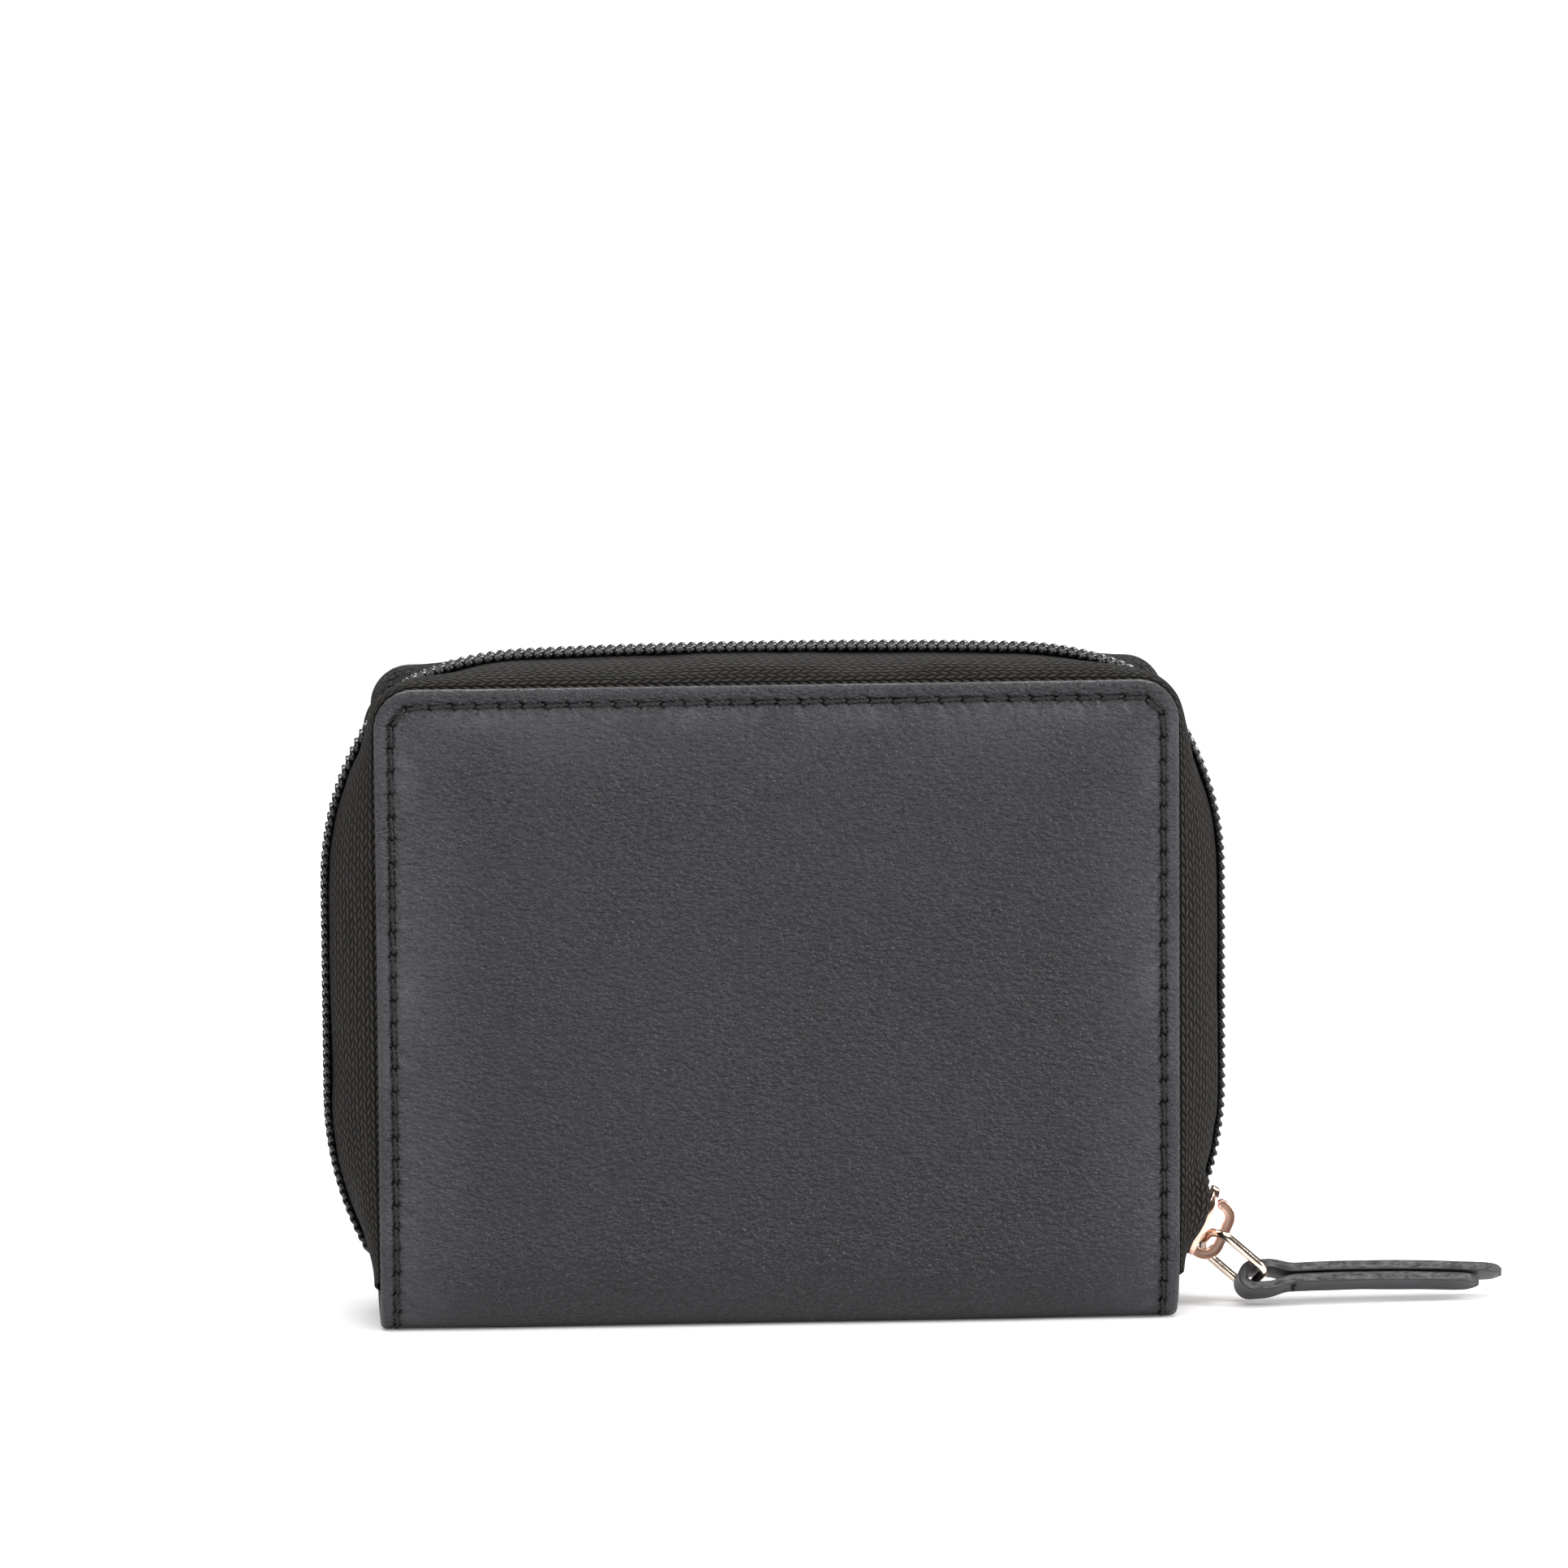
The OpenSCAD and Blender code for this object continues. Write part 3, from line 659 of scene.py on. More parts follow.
def build_covers():
    sheet = Sheet(HALF_W, SHEET_T, CORNER, 0.25, RIM_R, INNER_Y - FACE_Y + 0.05, 3.0)
    holes = sheet.stitch_line()
    for half, side in HALVES:
        seed = 11 if half == "back" else 47
        sink = cover_relief(sheet, seed)
        sink = np.where(sheet.a > 0, sink * smooth(sheet.a, 0, 0.5), 0)
        points = on_cover(sheet.x, sheet.t, sheet.depth + sink)
        flow = np.stack([sheet.x, sheet.t, sheet.depth + side * 40], -1)
        wear_and_painted_light = cover_wear_and_painted_light(sheet, seed)
        part = Part().add(points, grid_faces(*sheet.x.shape), flow, wear_and_painted_light.ravel())
        skin = make(part, f"{half}_cover_leather", "outer", side)
        bend_with_spine(skin)
        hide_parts(f"{half}_cover", f"{half}_fold", "spine_cover")

        def surface(x, t, depth):
            return on_cover(x, t, depth - 0.02)

        sewn = Part()
        stitches(sewn, surface, holes, COVER_THREAD)
        line = make(sewn, f"{half}_cover_seam", "thread", side)
        bend_with_spine(line)
        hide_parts(f"{half}_edge_stitching")


# ---- the zip
LOW_R, LOW_END, LOW_Z = 42.0, -32.6, 28.5
EASE_R, EASE_END, BEND_R, BEND_END = 37.0, 36.0, 12.5, 69.0
BROW_R, BROW_END, CROWN_R = 39.0, 88.0, 850.0
TAIL_Z, TAPE_Z = 3.2, 6.5
COIL_END, CORE_R = 4.5, 0.42
COIL_MID, COIL_REACH = -1.15, 1.05
CORNER_CUT = 2.2  # how far the front tape draws in at the top corners
TAPE_REACH = 0.2  # how far the tape's edge goes up into the coil's foot


def sind(a):
    return math.sin(math.radians(a))


def cosd(a):
    return math.cos(math.radians(a))


SIDE_X = HALF_W + ZIP_SIDE
LOW_C = (SIDE_X - LOW_R, LOW_Z)
EASE_Z = (TOP_Z + ZIP_TOP - CROWN_R * (1 - sind(BROW_END)) - BROW_R * (sind(BROW_END) - sind(BEND_END))
          - BEND_R * (sind(BEND_END) - sind(EASE_END)) - EASE_R * sind(EASE_END))


def next_centre(centre, radius, next_radius, angle):
    """Centre of the arc that carries on from an arc's end without a kink."""
    gap = radius - next_radius
    return centre[0] + gap * cosd(angle), centre[1] + gap * sind(angle)


EASE_C = (SIDE_X - EASE_R, EASE_Z)
BEND_C = next_centre(EASE_C, EASE_R, BEND_R, EASE_END)
BROW_C = next_centre(BEND_C, BEND_R, BROW_R, BEND_END)
CROWN_C = next_centre(BROW_C, BROW_R, CROWN_R, BROW_END)


def arc(c, r, start, end, n):
    return [(c[0] + r * cosd(a), c[1] + r * sind(a), a) for a in np.linspace(start, end, n, endpoint=False)]


def straight(p, q, n):
    f = np.linspace(0, 1, n, endpoint=False)[:, None]
    return [tuple(r) for r in np.array(p) * (1 - f) + np.array(q) * f]


def beside(station):
    """The place on the cover's edge nearest to a station of the zip."""
    x, z = station[:2]
    cx, cz = HALF_W - CORNER, TOP_Z - CORNER
    if z <= cz:
        return HALF_W, z, 0
    if x <= cx:
        return x, TOP_Z, 90
    a = math.degrees(math.atan2(z - cz, x - cx))
    return cx + CORNER * cosd(a), cz + CORNER * sind(a), a


def zip_lines(k=8):
    """Matching points of the coil's outer line and of the cover's edge: x, z and the normal's angle."""
    w = HALF_W
    low = (LOW_C[0] + LOW_R * cosd(LOW_END), LOW_C[1] + LOW_R * sind(LOW_END), LOW_END)
    outer = straight((w - 0.2, TAIL_Z, 0), low, k) + arc(LOW_C, LOW_R, LOW_END, 0, 8 * k)
    outer += straight((SIDE_X, LOW_Z, 0), (SIDE_X, EASE_Z, 0), 2 * k)
    bends = ((EASE_C, EASE_R, 0, EASE_END, 6), (BEND_C, BEND_R, EASE_END, BEND_END, 5),
             (BROW_C, BROW_R, BEND_END, BROW_END, 4), (CROWN_C, CROWN_R, BROW_END, 90, 4))
    for centre, radius, start, end, n in bends:
        outer += arc(centre, radius, start, end, n * k)
    inner = straight((w, TAPE_Z, 0), (w, TAPE_Z + 1.5, 0), k)
    inner += straight((w, TAPE_Z + 1.5, 0), (w, LOW_Z, 0), 8 * k) + [beside(p) for p in outer[9 * k:]]
    made = []
    for line, last in ((outer, (0, TOP_Z + ZIP_TOP, 90)), (inner, (0, TOP_Z, 90))):
        line = np.array(line)
        other = line[::-1] * (-1, 1, -1) + (0, 0, 180)
        made.append(np.concatenate([line, [last], other]))
    return made


def softened(values, reach):
    """Moving average along the first axis that leaves the ends where they are."""
    kernel = np.hanning(2 * reach + 3)[1:-1]
    kernel /= kernel.sum()
    flat = values.reshape(len(values), -1)
    padded = np.concatenate([2 * flat[:1] - flat[reach:0:-1], flat, 2 * flat[-1:] - flat[-2:-reach - 2:-1]])
    made = np.stack([np.convolve(padded[:, c], kernel, "valid") for c in range(flat.shape[1])], -1)
    return made.reshape(values.shape)


OUTER_LINE, EDGE_LINE = zip_lines()
TAPE_PROFILE = [(0, -4, -10.65), (0, 0.1, -10.65), (0.1, 0.9, -9.4), (0.35, 1.3, -7.2), (0.75, 0.6, -4.6),
                (1, 0, -2.6), (1, 0, -0.5)]


def normals(line):
    a = np.radians(line[:, 2])
    return np.stack([np.cos(a), np.zeros(len(a)), np.sin(a)], -1)


def zip_tape(side, seed):
    """The woven tape from its sewn margin, round its bulge, to under the coil."""
    profile = chaikin(TAPE_PROFILE, 3)
    outer_n, edge_n = normals(OUTER_LINE), normals(EDGE_LINE)
    flat = np.zeros(len(OUTER_LINE))
    outer = np.stack([OUTER_LINE[:, 0], flat, OUTER_LINE[:, 1]], -1) - (COIL_H - TAPE_REACH) * outer_n
    edge = np.stack([EDGE_LINE[:, 0], flat, EDGE_LINE[:, 1]], -1)
    share, bulge, y = profile.T
    corner = bell(EDGE_LINE[:, 2], 45, 30) + bell(EDGE_LINE[:, 2], 135, 30)
    if side == FRONT:  # here the tape cuts the corner, so the cover's own corner stands free
        edge -= edge_n * (CORNER_CUT * corner)[:, None]
        bulge = bulge[None] * (1 - 0.8 * corner[:, None])
    else:
        bulge = np.broadcast_to(bulge, (len(edge), len(y)))
    rows = edge[:, None] + (outer - edge)[:, None] * share[None, :, None]
    rows = rows + edge_n[:, None] * bulge[..., None]
    low = smooth(-OUTER_LINE[:, 1], -19, -13) * smooth(OUTER_LINE[:, 1], 5, 11) * (OUTER_LINE[:, 0] > 0)
    rows += edge_n[:, None] * (2.0 * low[:, None] * bell(y, -6.2, 2.0)[None])[..., None]
    rows[:, :, 1] = y[None]
    rows = softened(rows, 7)
    across = lengths(rows[200])
    s, v = np.meshgrid(lengths(rows[:, 30]), across, indexing="ij")
    du, dv = np.gradient(rows, axis=0), np.gradient(rows, axis=1)
    out = np.cross(dv, du)
    out /= np.linalg.norm(out, axis=2)[..., None]
    free = smooth(v, 4.5, 7) * smooth(across[-1] - v, 0.3, 1.5)
    wave = 0.16 * noise(s / 9, v / 5, seed) + 0.06 * noise(s / 2.6, v / 3, seed + 1)
    top = rows + out * (wave * free)[..., None]
    bottom = rows - out * TAPE_T
    ring = np.concatenate([top, bottom[:, ::-1]], 1)
    flow = np.concatenate([np.stack([s, v, np.zeros_like(s)], -1),
                           np.stack([s, v, np.ones_like(s)], -1)[:, ::-1]], 1)
    return Part().add(ring, skin(*ring.shape[:2]), flow, flip=True)


def coil_frame(step, trim, reach):
    """Evenly spaced points on the coil's outer line, and the directions away from the wallet."""
    line = even(OUTER_LINE[:, :2], step)
    line = line[trim:len(line) - trim]
    return line, to_right(tangents(softened(line, reach)))


def coil_path(shift):
    """Centre of the nylon wire, wound round the tape's edge from one low end to the other."""
    line, out = coil_frame(0.2, 0, 4)
    length = lengths(line)
    first, last = COIL_END, length[-1] - COIL_END
    turns = int((last - first) / COIL_PITCH)
    angle = 2 * math.pi * (np.linspace(0, turns, turns * 14 + 1) + shift)
    lean = 0.14 * np.sin(angle)  # the wire crosses the outer face at a slant and the inner one straight
    at = first + COIL_PITCH * (angle / (2 * math.pi) - lean)
    x, z, ox, oz = (np.interp(at, length, c) for c in (*line.T, *out.T))
    radial = -COIL_H / 2 + (COIL_H / 2 - COIL_WIRE) * np.sin(angle)
    return np.stack([x + ox * radial, COIL_MID + COIL_REACH * np.cos(angle), z + oz * radial], -1)


def coil_core():
    """Filler cord that runs inside the coil."""
    line, out = coil_frame(0.8, 6, 2)
    centre = line - out * (COIL_H / 2 + 0.1)
    return np.stack([centre[:, 0], np.full(len(centre), -1.1), centre[:, 1]], -1)


def build_zip():
    for half, side in HALVES:
        tape = zip_tape(side, 5 if side == BACK else 25)
        fitted(tape, f"{half}_zip_tape_woven", "tape", side, f"{half}_half", f"{half}_zip_tape")
        coil = tube(Part(), coil_path(0.0 if side == BACK else 0.5), COIL_WIRE)
        tube(coil, coil_core(), CORE_R)
        fitted(coil, f"{half}_zip_coil_wound", "nylon", side, f"{half}_half", f"{half}_zip_coil")


# ---- slider, ring and puller
SLIDER_ANGLE, SLIDER_CLEAR, PLATE_T = 24.5, 0.45, 0.9
SLIDER_LEN, SLIDER_W = 9.0, 6.6
HOOK_GAP, HOOK_T, HOOK_W, HOOK_LOW, HOOK_HIGH = 2.3, 1.2, 1.4, -2.2, 1.0
PLATE_OUT = LOW_R + SLIDER_CLEAR + PLATE_T
HOOK_X = PLATE_OUT + HOOK_GAP / 2 - 0.1
RING_TURN, PULLER_TURN = (-42, 40, -12), (-26, -1.8, 5)
RING_REST = HOOK_LOW + 0.45
WIRE_R, RING_X, RING_Y, TOP_BEND, LOW_BEND = 0.55, 8.2, 3.35, 2.6, 1.0
ON_ARC = move(LOW_C[0], 0, LOW_C[1]) @ turn(y=SLIDER_ANGLE)
RING_FRAME = ON_ARC @ move(HOOK_X, 0, RING_REST) @ turn(y=-SLIDER_ANGLE) @ turn(*RING_TURN)
PULLER_FRAME = RING_FRAME @ move(RING_X) @ np.linalg.inv(turn(*RING_TURN)) @ turn(*PULLER_TURN)


def offset_inward(outline, d):
    """Closed outline (counter-clockwise) moved inward by half of d."""
    before, after = np.roll(outline, 1, 0), np.roll(outline, -1, 0)
    e0, e1 = outline - before, after - outline
    n0 = np.stack([-e0[:, 1], e0[:, 0]], -1) / np.linalg.norm(e0, axis=1)[:, None]
    n1 = np.stack([-e1[:, 1], e1[:, 0]], -1) / np.linalg.norm(e1, axis=1)[:, None]
    n = n0 + n1
    n /= np.maximum((n * n0).sum(1), 0.35)[:, None]
    return outline + n * d * 0.5


def rounded_solid(part, outline, lo, hi, bevel, m, faces_at_ends=True):
    """Outline in x and y extruded along z from lo to hi with round edges, then placed by m."""
    steps = np.linspace(0, math.pi / 2, 4)
    levels = [(lo + bevel * (1 - math.sin(a)), bevel * (1 - math.cos(a))) for a in steps[::-1]]
    levels += [(hi - bevel * (1 - math.sin(a)), bevel * (1 - math.cos(a))) for a in steps]
    rings = [np.column_stack([offset_inward(outline, d), np.full(len(outline), z)]) for z, d in levels]
    faces = skin(len(rings), len(outline), -1)
    rings = np.concatenate(rings)
    return part.add(placed(m, rings), faces if faces_at_ends else faces[:-2], rings)


def plate_outline(length, width):
    w, h = width / 2, length / 2
    corners = [(-h, -w + 0.6), (0, -w), (h - 0.9, -w), (h, -w + 0.9), (h, w - 0.9), (h - 0.9, w), (0, w),
               (-h, w - 0.6)]
    return chaikin(corners, 2, True)


def hook_line(n=34):
    """Centre line of the open hook, from its root to its tip, in the slider's x and z."""
    mid = HOOK_GAP / 2 + HOOK_T / 2
    return np.array([(HOOK_X + mid * math.cos(a), z + mid * math.sin(a))
                     for z, start, end in ((HOOK_LOW, -128, 0), (HOOK_HIGH, 0, 88))
                     for a in np.linspace(math.radians(start), math.radians(end), n)])


def band_outline(line, width):
    """Closed outline of a band round a line, its far end rounded."""
    tangent = tangents(line)
    n = -to_right(tangent)
    half = width / 2
    cap = [line[-1] + half * (math.cos(a) * -n[-1] + math.sin(a) * tangent[-1])
           for a in np.linspace(0.35, math.pi - 0.35, 7)]
    return np.concatenate([line - n * half, cap, (line + n * half)[::-1]])


def build_slider():
    stand, upright = ON_ARC @ turn(y=90), ON_ARC @ turn(x=90)
    body = Part()
    inner_x = LOW_R - COIL_H - TAPE_T - SLIDER_CLEAR
    outline = plate_outline(SLIDER_LEN, SLIDER_W)
    rounded_solid(body, outline, LOW_R + SLIDER_CLEAR, PLATE_OUT, 0.22, stand)
    rounded_solid(body, outline, inner_x - 0.8, inner_x, 0.2, stand)
    near, far = SLIDER_LEN / 2 - 2.3, SLIDER_LEN / 2 - 0.3
    post = np.array([(near, -0.4), (far, -0.4), (far, 0.4), (near, 0.4)])
    rounded_solid(body, post, inner_x - 0.1, LOW_R + SLIDER_CLEAR + 0.1, 0.05, stand)
    hook = band_outline(hook_line(), HOOK_T)
    rounded_solid(body, hook, -HOOK_W / 2, HOOK_W / 2, 0.14, upright, faces_at_ends=False)
    fitted(body, "zip_slider_body", "gold", BACK, "slider", "zip_slider")
    sunk = Part()
    n, middle = len(hook), len(hook_line())
    strip = [[n + k, n + k + 1, 2 * n - 2 - k, 2 * n - 1 - k] for k in range(middle - 1)]
    strip.append([n + j for j in range(middle - 1, n - middle + 1)])
    for way in (-1, 1):
        points = np.concatenate([np.column_stack([offset_inward(hook, inset), np.full(n, way * height)])
                                 for inset, height in ((0.13, HOOK_W / 2), (0.27, HOOK_W / 2 - 0.16))])
        sunk.add(placed(upright, points), grid_faces(2, n, True).tolist() + strip, points, flip=way > 0)
    fitted(sunk, "zip_slider_hook_faces", "grain_gold", BACK, "slider")


def ring_path():
    """Rounded rectangle of the ring's wire, in its own x and y."""
    corners = []
    for cx, cy, r, start in ((RING_X - LOW_BEND, RING_Y - LOW_BEND, LOW_BEND, 0),
                             (TOP_BEND, RING_Y - TOP_BEND, TOP_BEND, 90),
                             (TOP_BEND, TOP_BEND - RING_Y, TOP_BEND, 180),
                             (RING_X - LOW_BEND, LOW_BEND - RING_Y, LOW_BEND, 270)):
        corners += [(cx + r * cosd(start + a), cy + r * sind(start + a), 0) for a in np.linspace(0, 90, 12)]
    corners = np.array(corners + corners[:1])
    return even(corners, 0.25)[:-1]


def build_ring():
    wire = tube(Part(), placed(RING_FRAME, ring_path()), WIRE_R, 14, closed=True)
    fitted(wire, "pull_ring_wire", "pale_gold", BACK, "ring", "pull_ring")


LOOP_R, LEAF_T, LEAF_LONG, LEAF_SHORT, LEAF_BEND, PULLER_W = 1.425, 1.15, 31.0, 28.0, 260.0, 5.0
LEAF_MID = 0.725  # from the plane between the two leaves to the middle of one leaf


def puller_line():
    """Middle of the folded strip, in x and z: upper leaf, loop, lower leaf."""
    def leaf_line(x, way):
        rise = 1 - smooth(x, 1.0, 4.6)
        return np.stack([x, way * (LEAF_MID + (LOOP_R - LEAF_MID) * rise) - x**2 / (2 * LEAF_BEND)], -1)

    a = np.radians(np.linspace(90, 270, 26))
    loop = np.stack([-0.6 + LOOP_R * np.cos(a), LOOP_R * np.sin(a)], -1)
    upper = leaf_line(np.linspace(LEAF_LONG, 0.7, 90), 1)
    lower = leaf_line(np.linspace(0.7, LEAF_SHORT, 80), -1)
    return even(np.concatenate([upper, loop, lower]), 0.3)


def build_puller():
    line = puller_line()
    s, up = lengths(line), -to_right(tangents(line))
    end = np.minimum(s, s[-1] - s)
    half = PULLER_W / 2 * np.sqrt(np.clip(1 - np.clip(1 - end / 3.6, 0, 1) ** 2.4, 0.02, 1))
    half = half * (1 + 0.02 * noise(s / 3, 0.5, 81))
    thick = LEAF_T / 2 * (0.72 + 0.28 * smooth(end, 0, 1.2)) * (1 + 0.05 * noise(s / 4, 2.5, 82))
    face, edge = np.linspace(-1, 1, 19), np.linspace(-1, 1, 9)
    ring = [(f, -1.0, 0.0) for f in face] + [(1.0, e, 1.0) for e in edge[1:-1]]
    ring += [(f, 1.0, 0.0) for f in face[::-1]] + [(-1.0, e, 1.0) for e in edge[::-1][1:-1]]
    ring = np.array(ring)
    n, m = len(line), len(ring)
    w = half[:, None] * ring[None, :, 0]
    h = thick[:, None] * ring[None, :, 1]
    near_edge = smooth(np.abs(ring[:, 0]), 0.86, 1.0)[None]
    h = h * (1 - 0.13 * near_edge * (np.abs(ring[:, 1]) > 0.99))
    cut = ring[None, :, 2] * np.ones((n, 1))
    rough = noise(s[:, None] / 0.5, ring[None, :, 1] * 2.2 + ring[None, :, 0], 83)
    nick = np.maximum(noise(s[:, None] / 0.7, ring[None, :, 0] * 3 + 11, 84), 0) ** 4
    w = w - np.sign(w) * cut * (0.07 * rough + 0.25 * nick + 0.03)
    bow = 0.06 * np.cos(ring[None, :, 0] * math.pi / 2)
    x = line[:, None, 0] + up[:, None, 0] * (h + bow)
    z = line[:, None, 1] + up[:, None, 1] * (h + bow)
    points = placed(PULLER_FRAME, np.stack([x, w, z], -1).reshape(-1, 3))
    flow = np.stack([np.broadcast_to(s[:, None], (n, m)), w + 3 * cut, h], -1)
    wear_and_painted_light = np.where((end < 0.4)[:, None], 1.0, np.clip(cut + 0.35 * near_edge * (1 - cut), 0, 1))
    strip = Part().add(points, skin(n, m), flow, wear_and_painted_light.ravel(), flip=True)
    fitted(strip, "leather_puller_strip", "puller", BACK, "puller", "leather_puller")
    sewn = Part()
    reach, x0, f = 1.7, 4.6, np.linspace(-1, 1, 17)
    for sign in (1, -1):
        z = sign * (LEAF_MID + LEAF_T / 2 + 0.10 - 0.55 * np.abs(f) ** 6) - x0**2 / (2 * LEAF_BEND)
        two_ply(sewn, placed(PULLER_FRAME, np.stack([x0 + 0.12 * f, f * reach, z], -1)), PULLER_THREAD)
    fitted(sewn, "leather_puller_seam", "thread", BACK, "puller", "puller_stitch")


# ---- inside
def build_linings():
    """Cloth from the top of each half down and round to the middle of the spine, with turned edges."""
    cloth = 0.5
    for half, side in HALVES:
        seed = 61 if half == "back" else 71
        lo, hi = node_box(f"{half}_lining")
        face = hi[1] if half == "back" else -lo[1]
        spine_z = node_box("spine_lining")[1][2]
        phi = np.linspace(0, math.pi / 2, 24)
        ry, rz = face - SPINE_Y, 5.0
        y = np.concatenate([[0], SPINE_Y + ry * np.sin(phi), [face]])
        z = np.concatenate([[spine_z], spine_z + rz * (1 - np.cos(phi)), [hi[2]]])
        t = section_lengths(y, z)
        ny = np.concatenate([[0], np.sin(phi), [1.0]])
        nz = np.concatenate([[1.0], np.cos(phi), [0.0]])
        sheet = Sheet(hi[0], t[-1], 8.0, 1.0, 0.2, cloth, 0.8)
        sag = 0.10 * noise(sheet.x / 13, sheet.t / 9, seed) * smooth(sheet.a, 0.5, 4) * smooth(sheet.t, 7, 14)
        depth = sheet.depth + np.maximum(sag, -0.02)
        cy, cz, ay, az = (np.interp(sheet.t, t, c) for c in (y, z, ny, nz))
        size = np.hypot(ay, az)
        above = np.maximum(sheet.t - t[-1], 0)
        points = np.stack([sheet.x, cy - ay / size * depth, cz + above - az / size * depth], -1)
        flow = np.stack([sheet.x, sheet.t, sheet.depth], -1)
        cover = Part().add(points, grid_faces(*sheet.x.shape), flow, flip=True)
        obj = make(cover, f"{half}_lining_cloth", "lining", side)
        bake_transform(obj)
        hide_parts(f"{half}_lining", "spine_lining")


def sewn_pocket(part, names, side, body, node, face, way, low, holes):
    """Makes a pocket piece and the seam near its edge, on the face that looks along y times way."""
    def surface(x, t, depth):
        return np.stack([x, way * (face - 0.4 * depth + 0.02), low + t], -1)

    fitted(part, names[0], "pocket", side, body, node)
    seam = Part()
    stitches(seam, surface, holes, POCKET_THREAD)
    fitted(seam, names[1], "thread", side, body)


def leaf(node, body, side, seed):
    """A leather leaf as big as its CAD node, its face away from the cover, with turned edges."""
    lo, hi = node_box(node)
    face = hi[1] if side == BACK else -lo[1]
    sheet = Sheet(hi[0], hi[2] - lo[2], 3.0, 0.8, POCKET_EDGE_R, hi[1] - lo[1], 1.0)
    holes = sheet.stitch_line()
    a, s, x, t = sheet.a, sheet.s, sheet.x, sheet.t
    hole = np.abs(s / sheet.pitch - np.round(s / sheet.pitch)) * sheet.pitch
    sink = 0.10 * bell(a, STITCH_IN, 0.6) + 0.05 * bell(hole, 0, 0.5) * bell(a, STITCH_IN, 0.6)
    sink += 0.04 * (1 + noise(x / 15, t / 9, seed)) * smooth(a, 1, 6)
    sink = np.where(a > 0, sink * smooth(a, 0, 0.5), 0)
    points = np.stack([x, face - sheet.depth - sink, lo[2] + t], -1)
    wear_and_painted_light = 0.4 * bell(a, 0.3, 0.4) * (0.8 + 0.3 * noise(s / 5, a, seed))
    flow = np.stack([x, t, np.full_like(x, 7.0 * seed)], -1)
    part = Part().add(points, grid_faces(*x.shape), flow, np.clip(wear_and_painted_light, 0, 1).ravel(), flip=True)
    sewn_pocket(part, (node + "_leaf", node + "_leaf_seam"), side, body, node, face, 1, lo[2], holes)


def build_pockets():
    for k in range(1, 5):
        leaf(f"back_card_pocket_{k}", "back_half", BACK, 90 + k)
    leaf("front_slip_pocket", "front_half", FRONT, 100)
    for k in range(1, 4):
        leaf(f"front_card_pocket_{k}", "front_half", FRONT, 100 + k)


def rounded_box(part, lo, hi, r):
    """Box with round edges along its length in x."""
    lo, hi = np.array(lo, float), np.array(hi, float)
    size = hi - lo
    outline = np.array([(0, 0), (size[0], 0), (size[0], size[1]), (0, size[1])])
    outline = np.array([p for a, b in zip(outline, np.roll(outline, -1, 0))
                        for p in (a + (b - a) * min(0.3, r / np.linalg.norm(b - a)),
                                  b - (b - a) * min(0.3, r / np.linalg.norm(b - a)))])
    return rounded_solid(part, outline, 0, size[2], min(r, size[2] * 0.45), move(*lo))


def coin_wall(half, side):
    """Outer wall of the coin pocket, with the seam strips at both ends and below."""
    node = f"coin_pocket_{half}_wall"
    lo, hi = node_box(node)
    outer = -lo[1] if half == "back" else hi[1]
    wall = 0.7
    sheet = Sheet(hi[0], hi[2] - lo[2], 1.2, 0.8, POCKET_EDGE_R, wall, 1.2)
    holes = sheet.stitch_line()
    a, x, t = sheet.a, sheet.x, sheet.t
    sink = 0.10 * bell(a, STITCH_IN, 0.6) + 0.05 * (1 + noise(x / 17, t / 13, 120 + side)) * smooth(a, 1, 6)
    sink = np.where(a > 0, sink * smooth(a, 0, 0.5), 0)
    points = np.stack([x, -(outer - sheet.depth - sink), lo[2] + t], -1)
    flow = np.stack([x, t, np.full_like(x, 50.0 * side)], -1)
    wear_and_painted_light = 0.4 * bell(a, 0.3, 0.4)
    part = Part().add(points, grid_faces(*x.shape), flow, wear_and_painted_light.ravel())
    for x0 in (-hi[0] + 0.1, hi[0] - 2.9):
        rounded_box(part, (x0, -outer + wall - 0.1, lo[2]), (x0 + 2.8, -0.04, hi[2] - 0.3), 0.25)
    rounded_box(part, (-hi[0] + 2.9, -outer + wall - 0.1, lo[2]), (hi[0] - 2.9, -0.04, lo[2] + 3), 0.25)
    names = f"coin_pocket_{half}_leather", f"coin_pocket_{half}_seam"
    sewn_pocket(part, names, side, "spine", node, outer, -1, lo[2], holes)


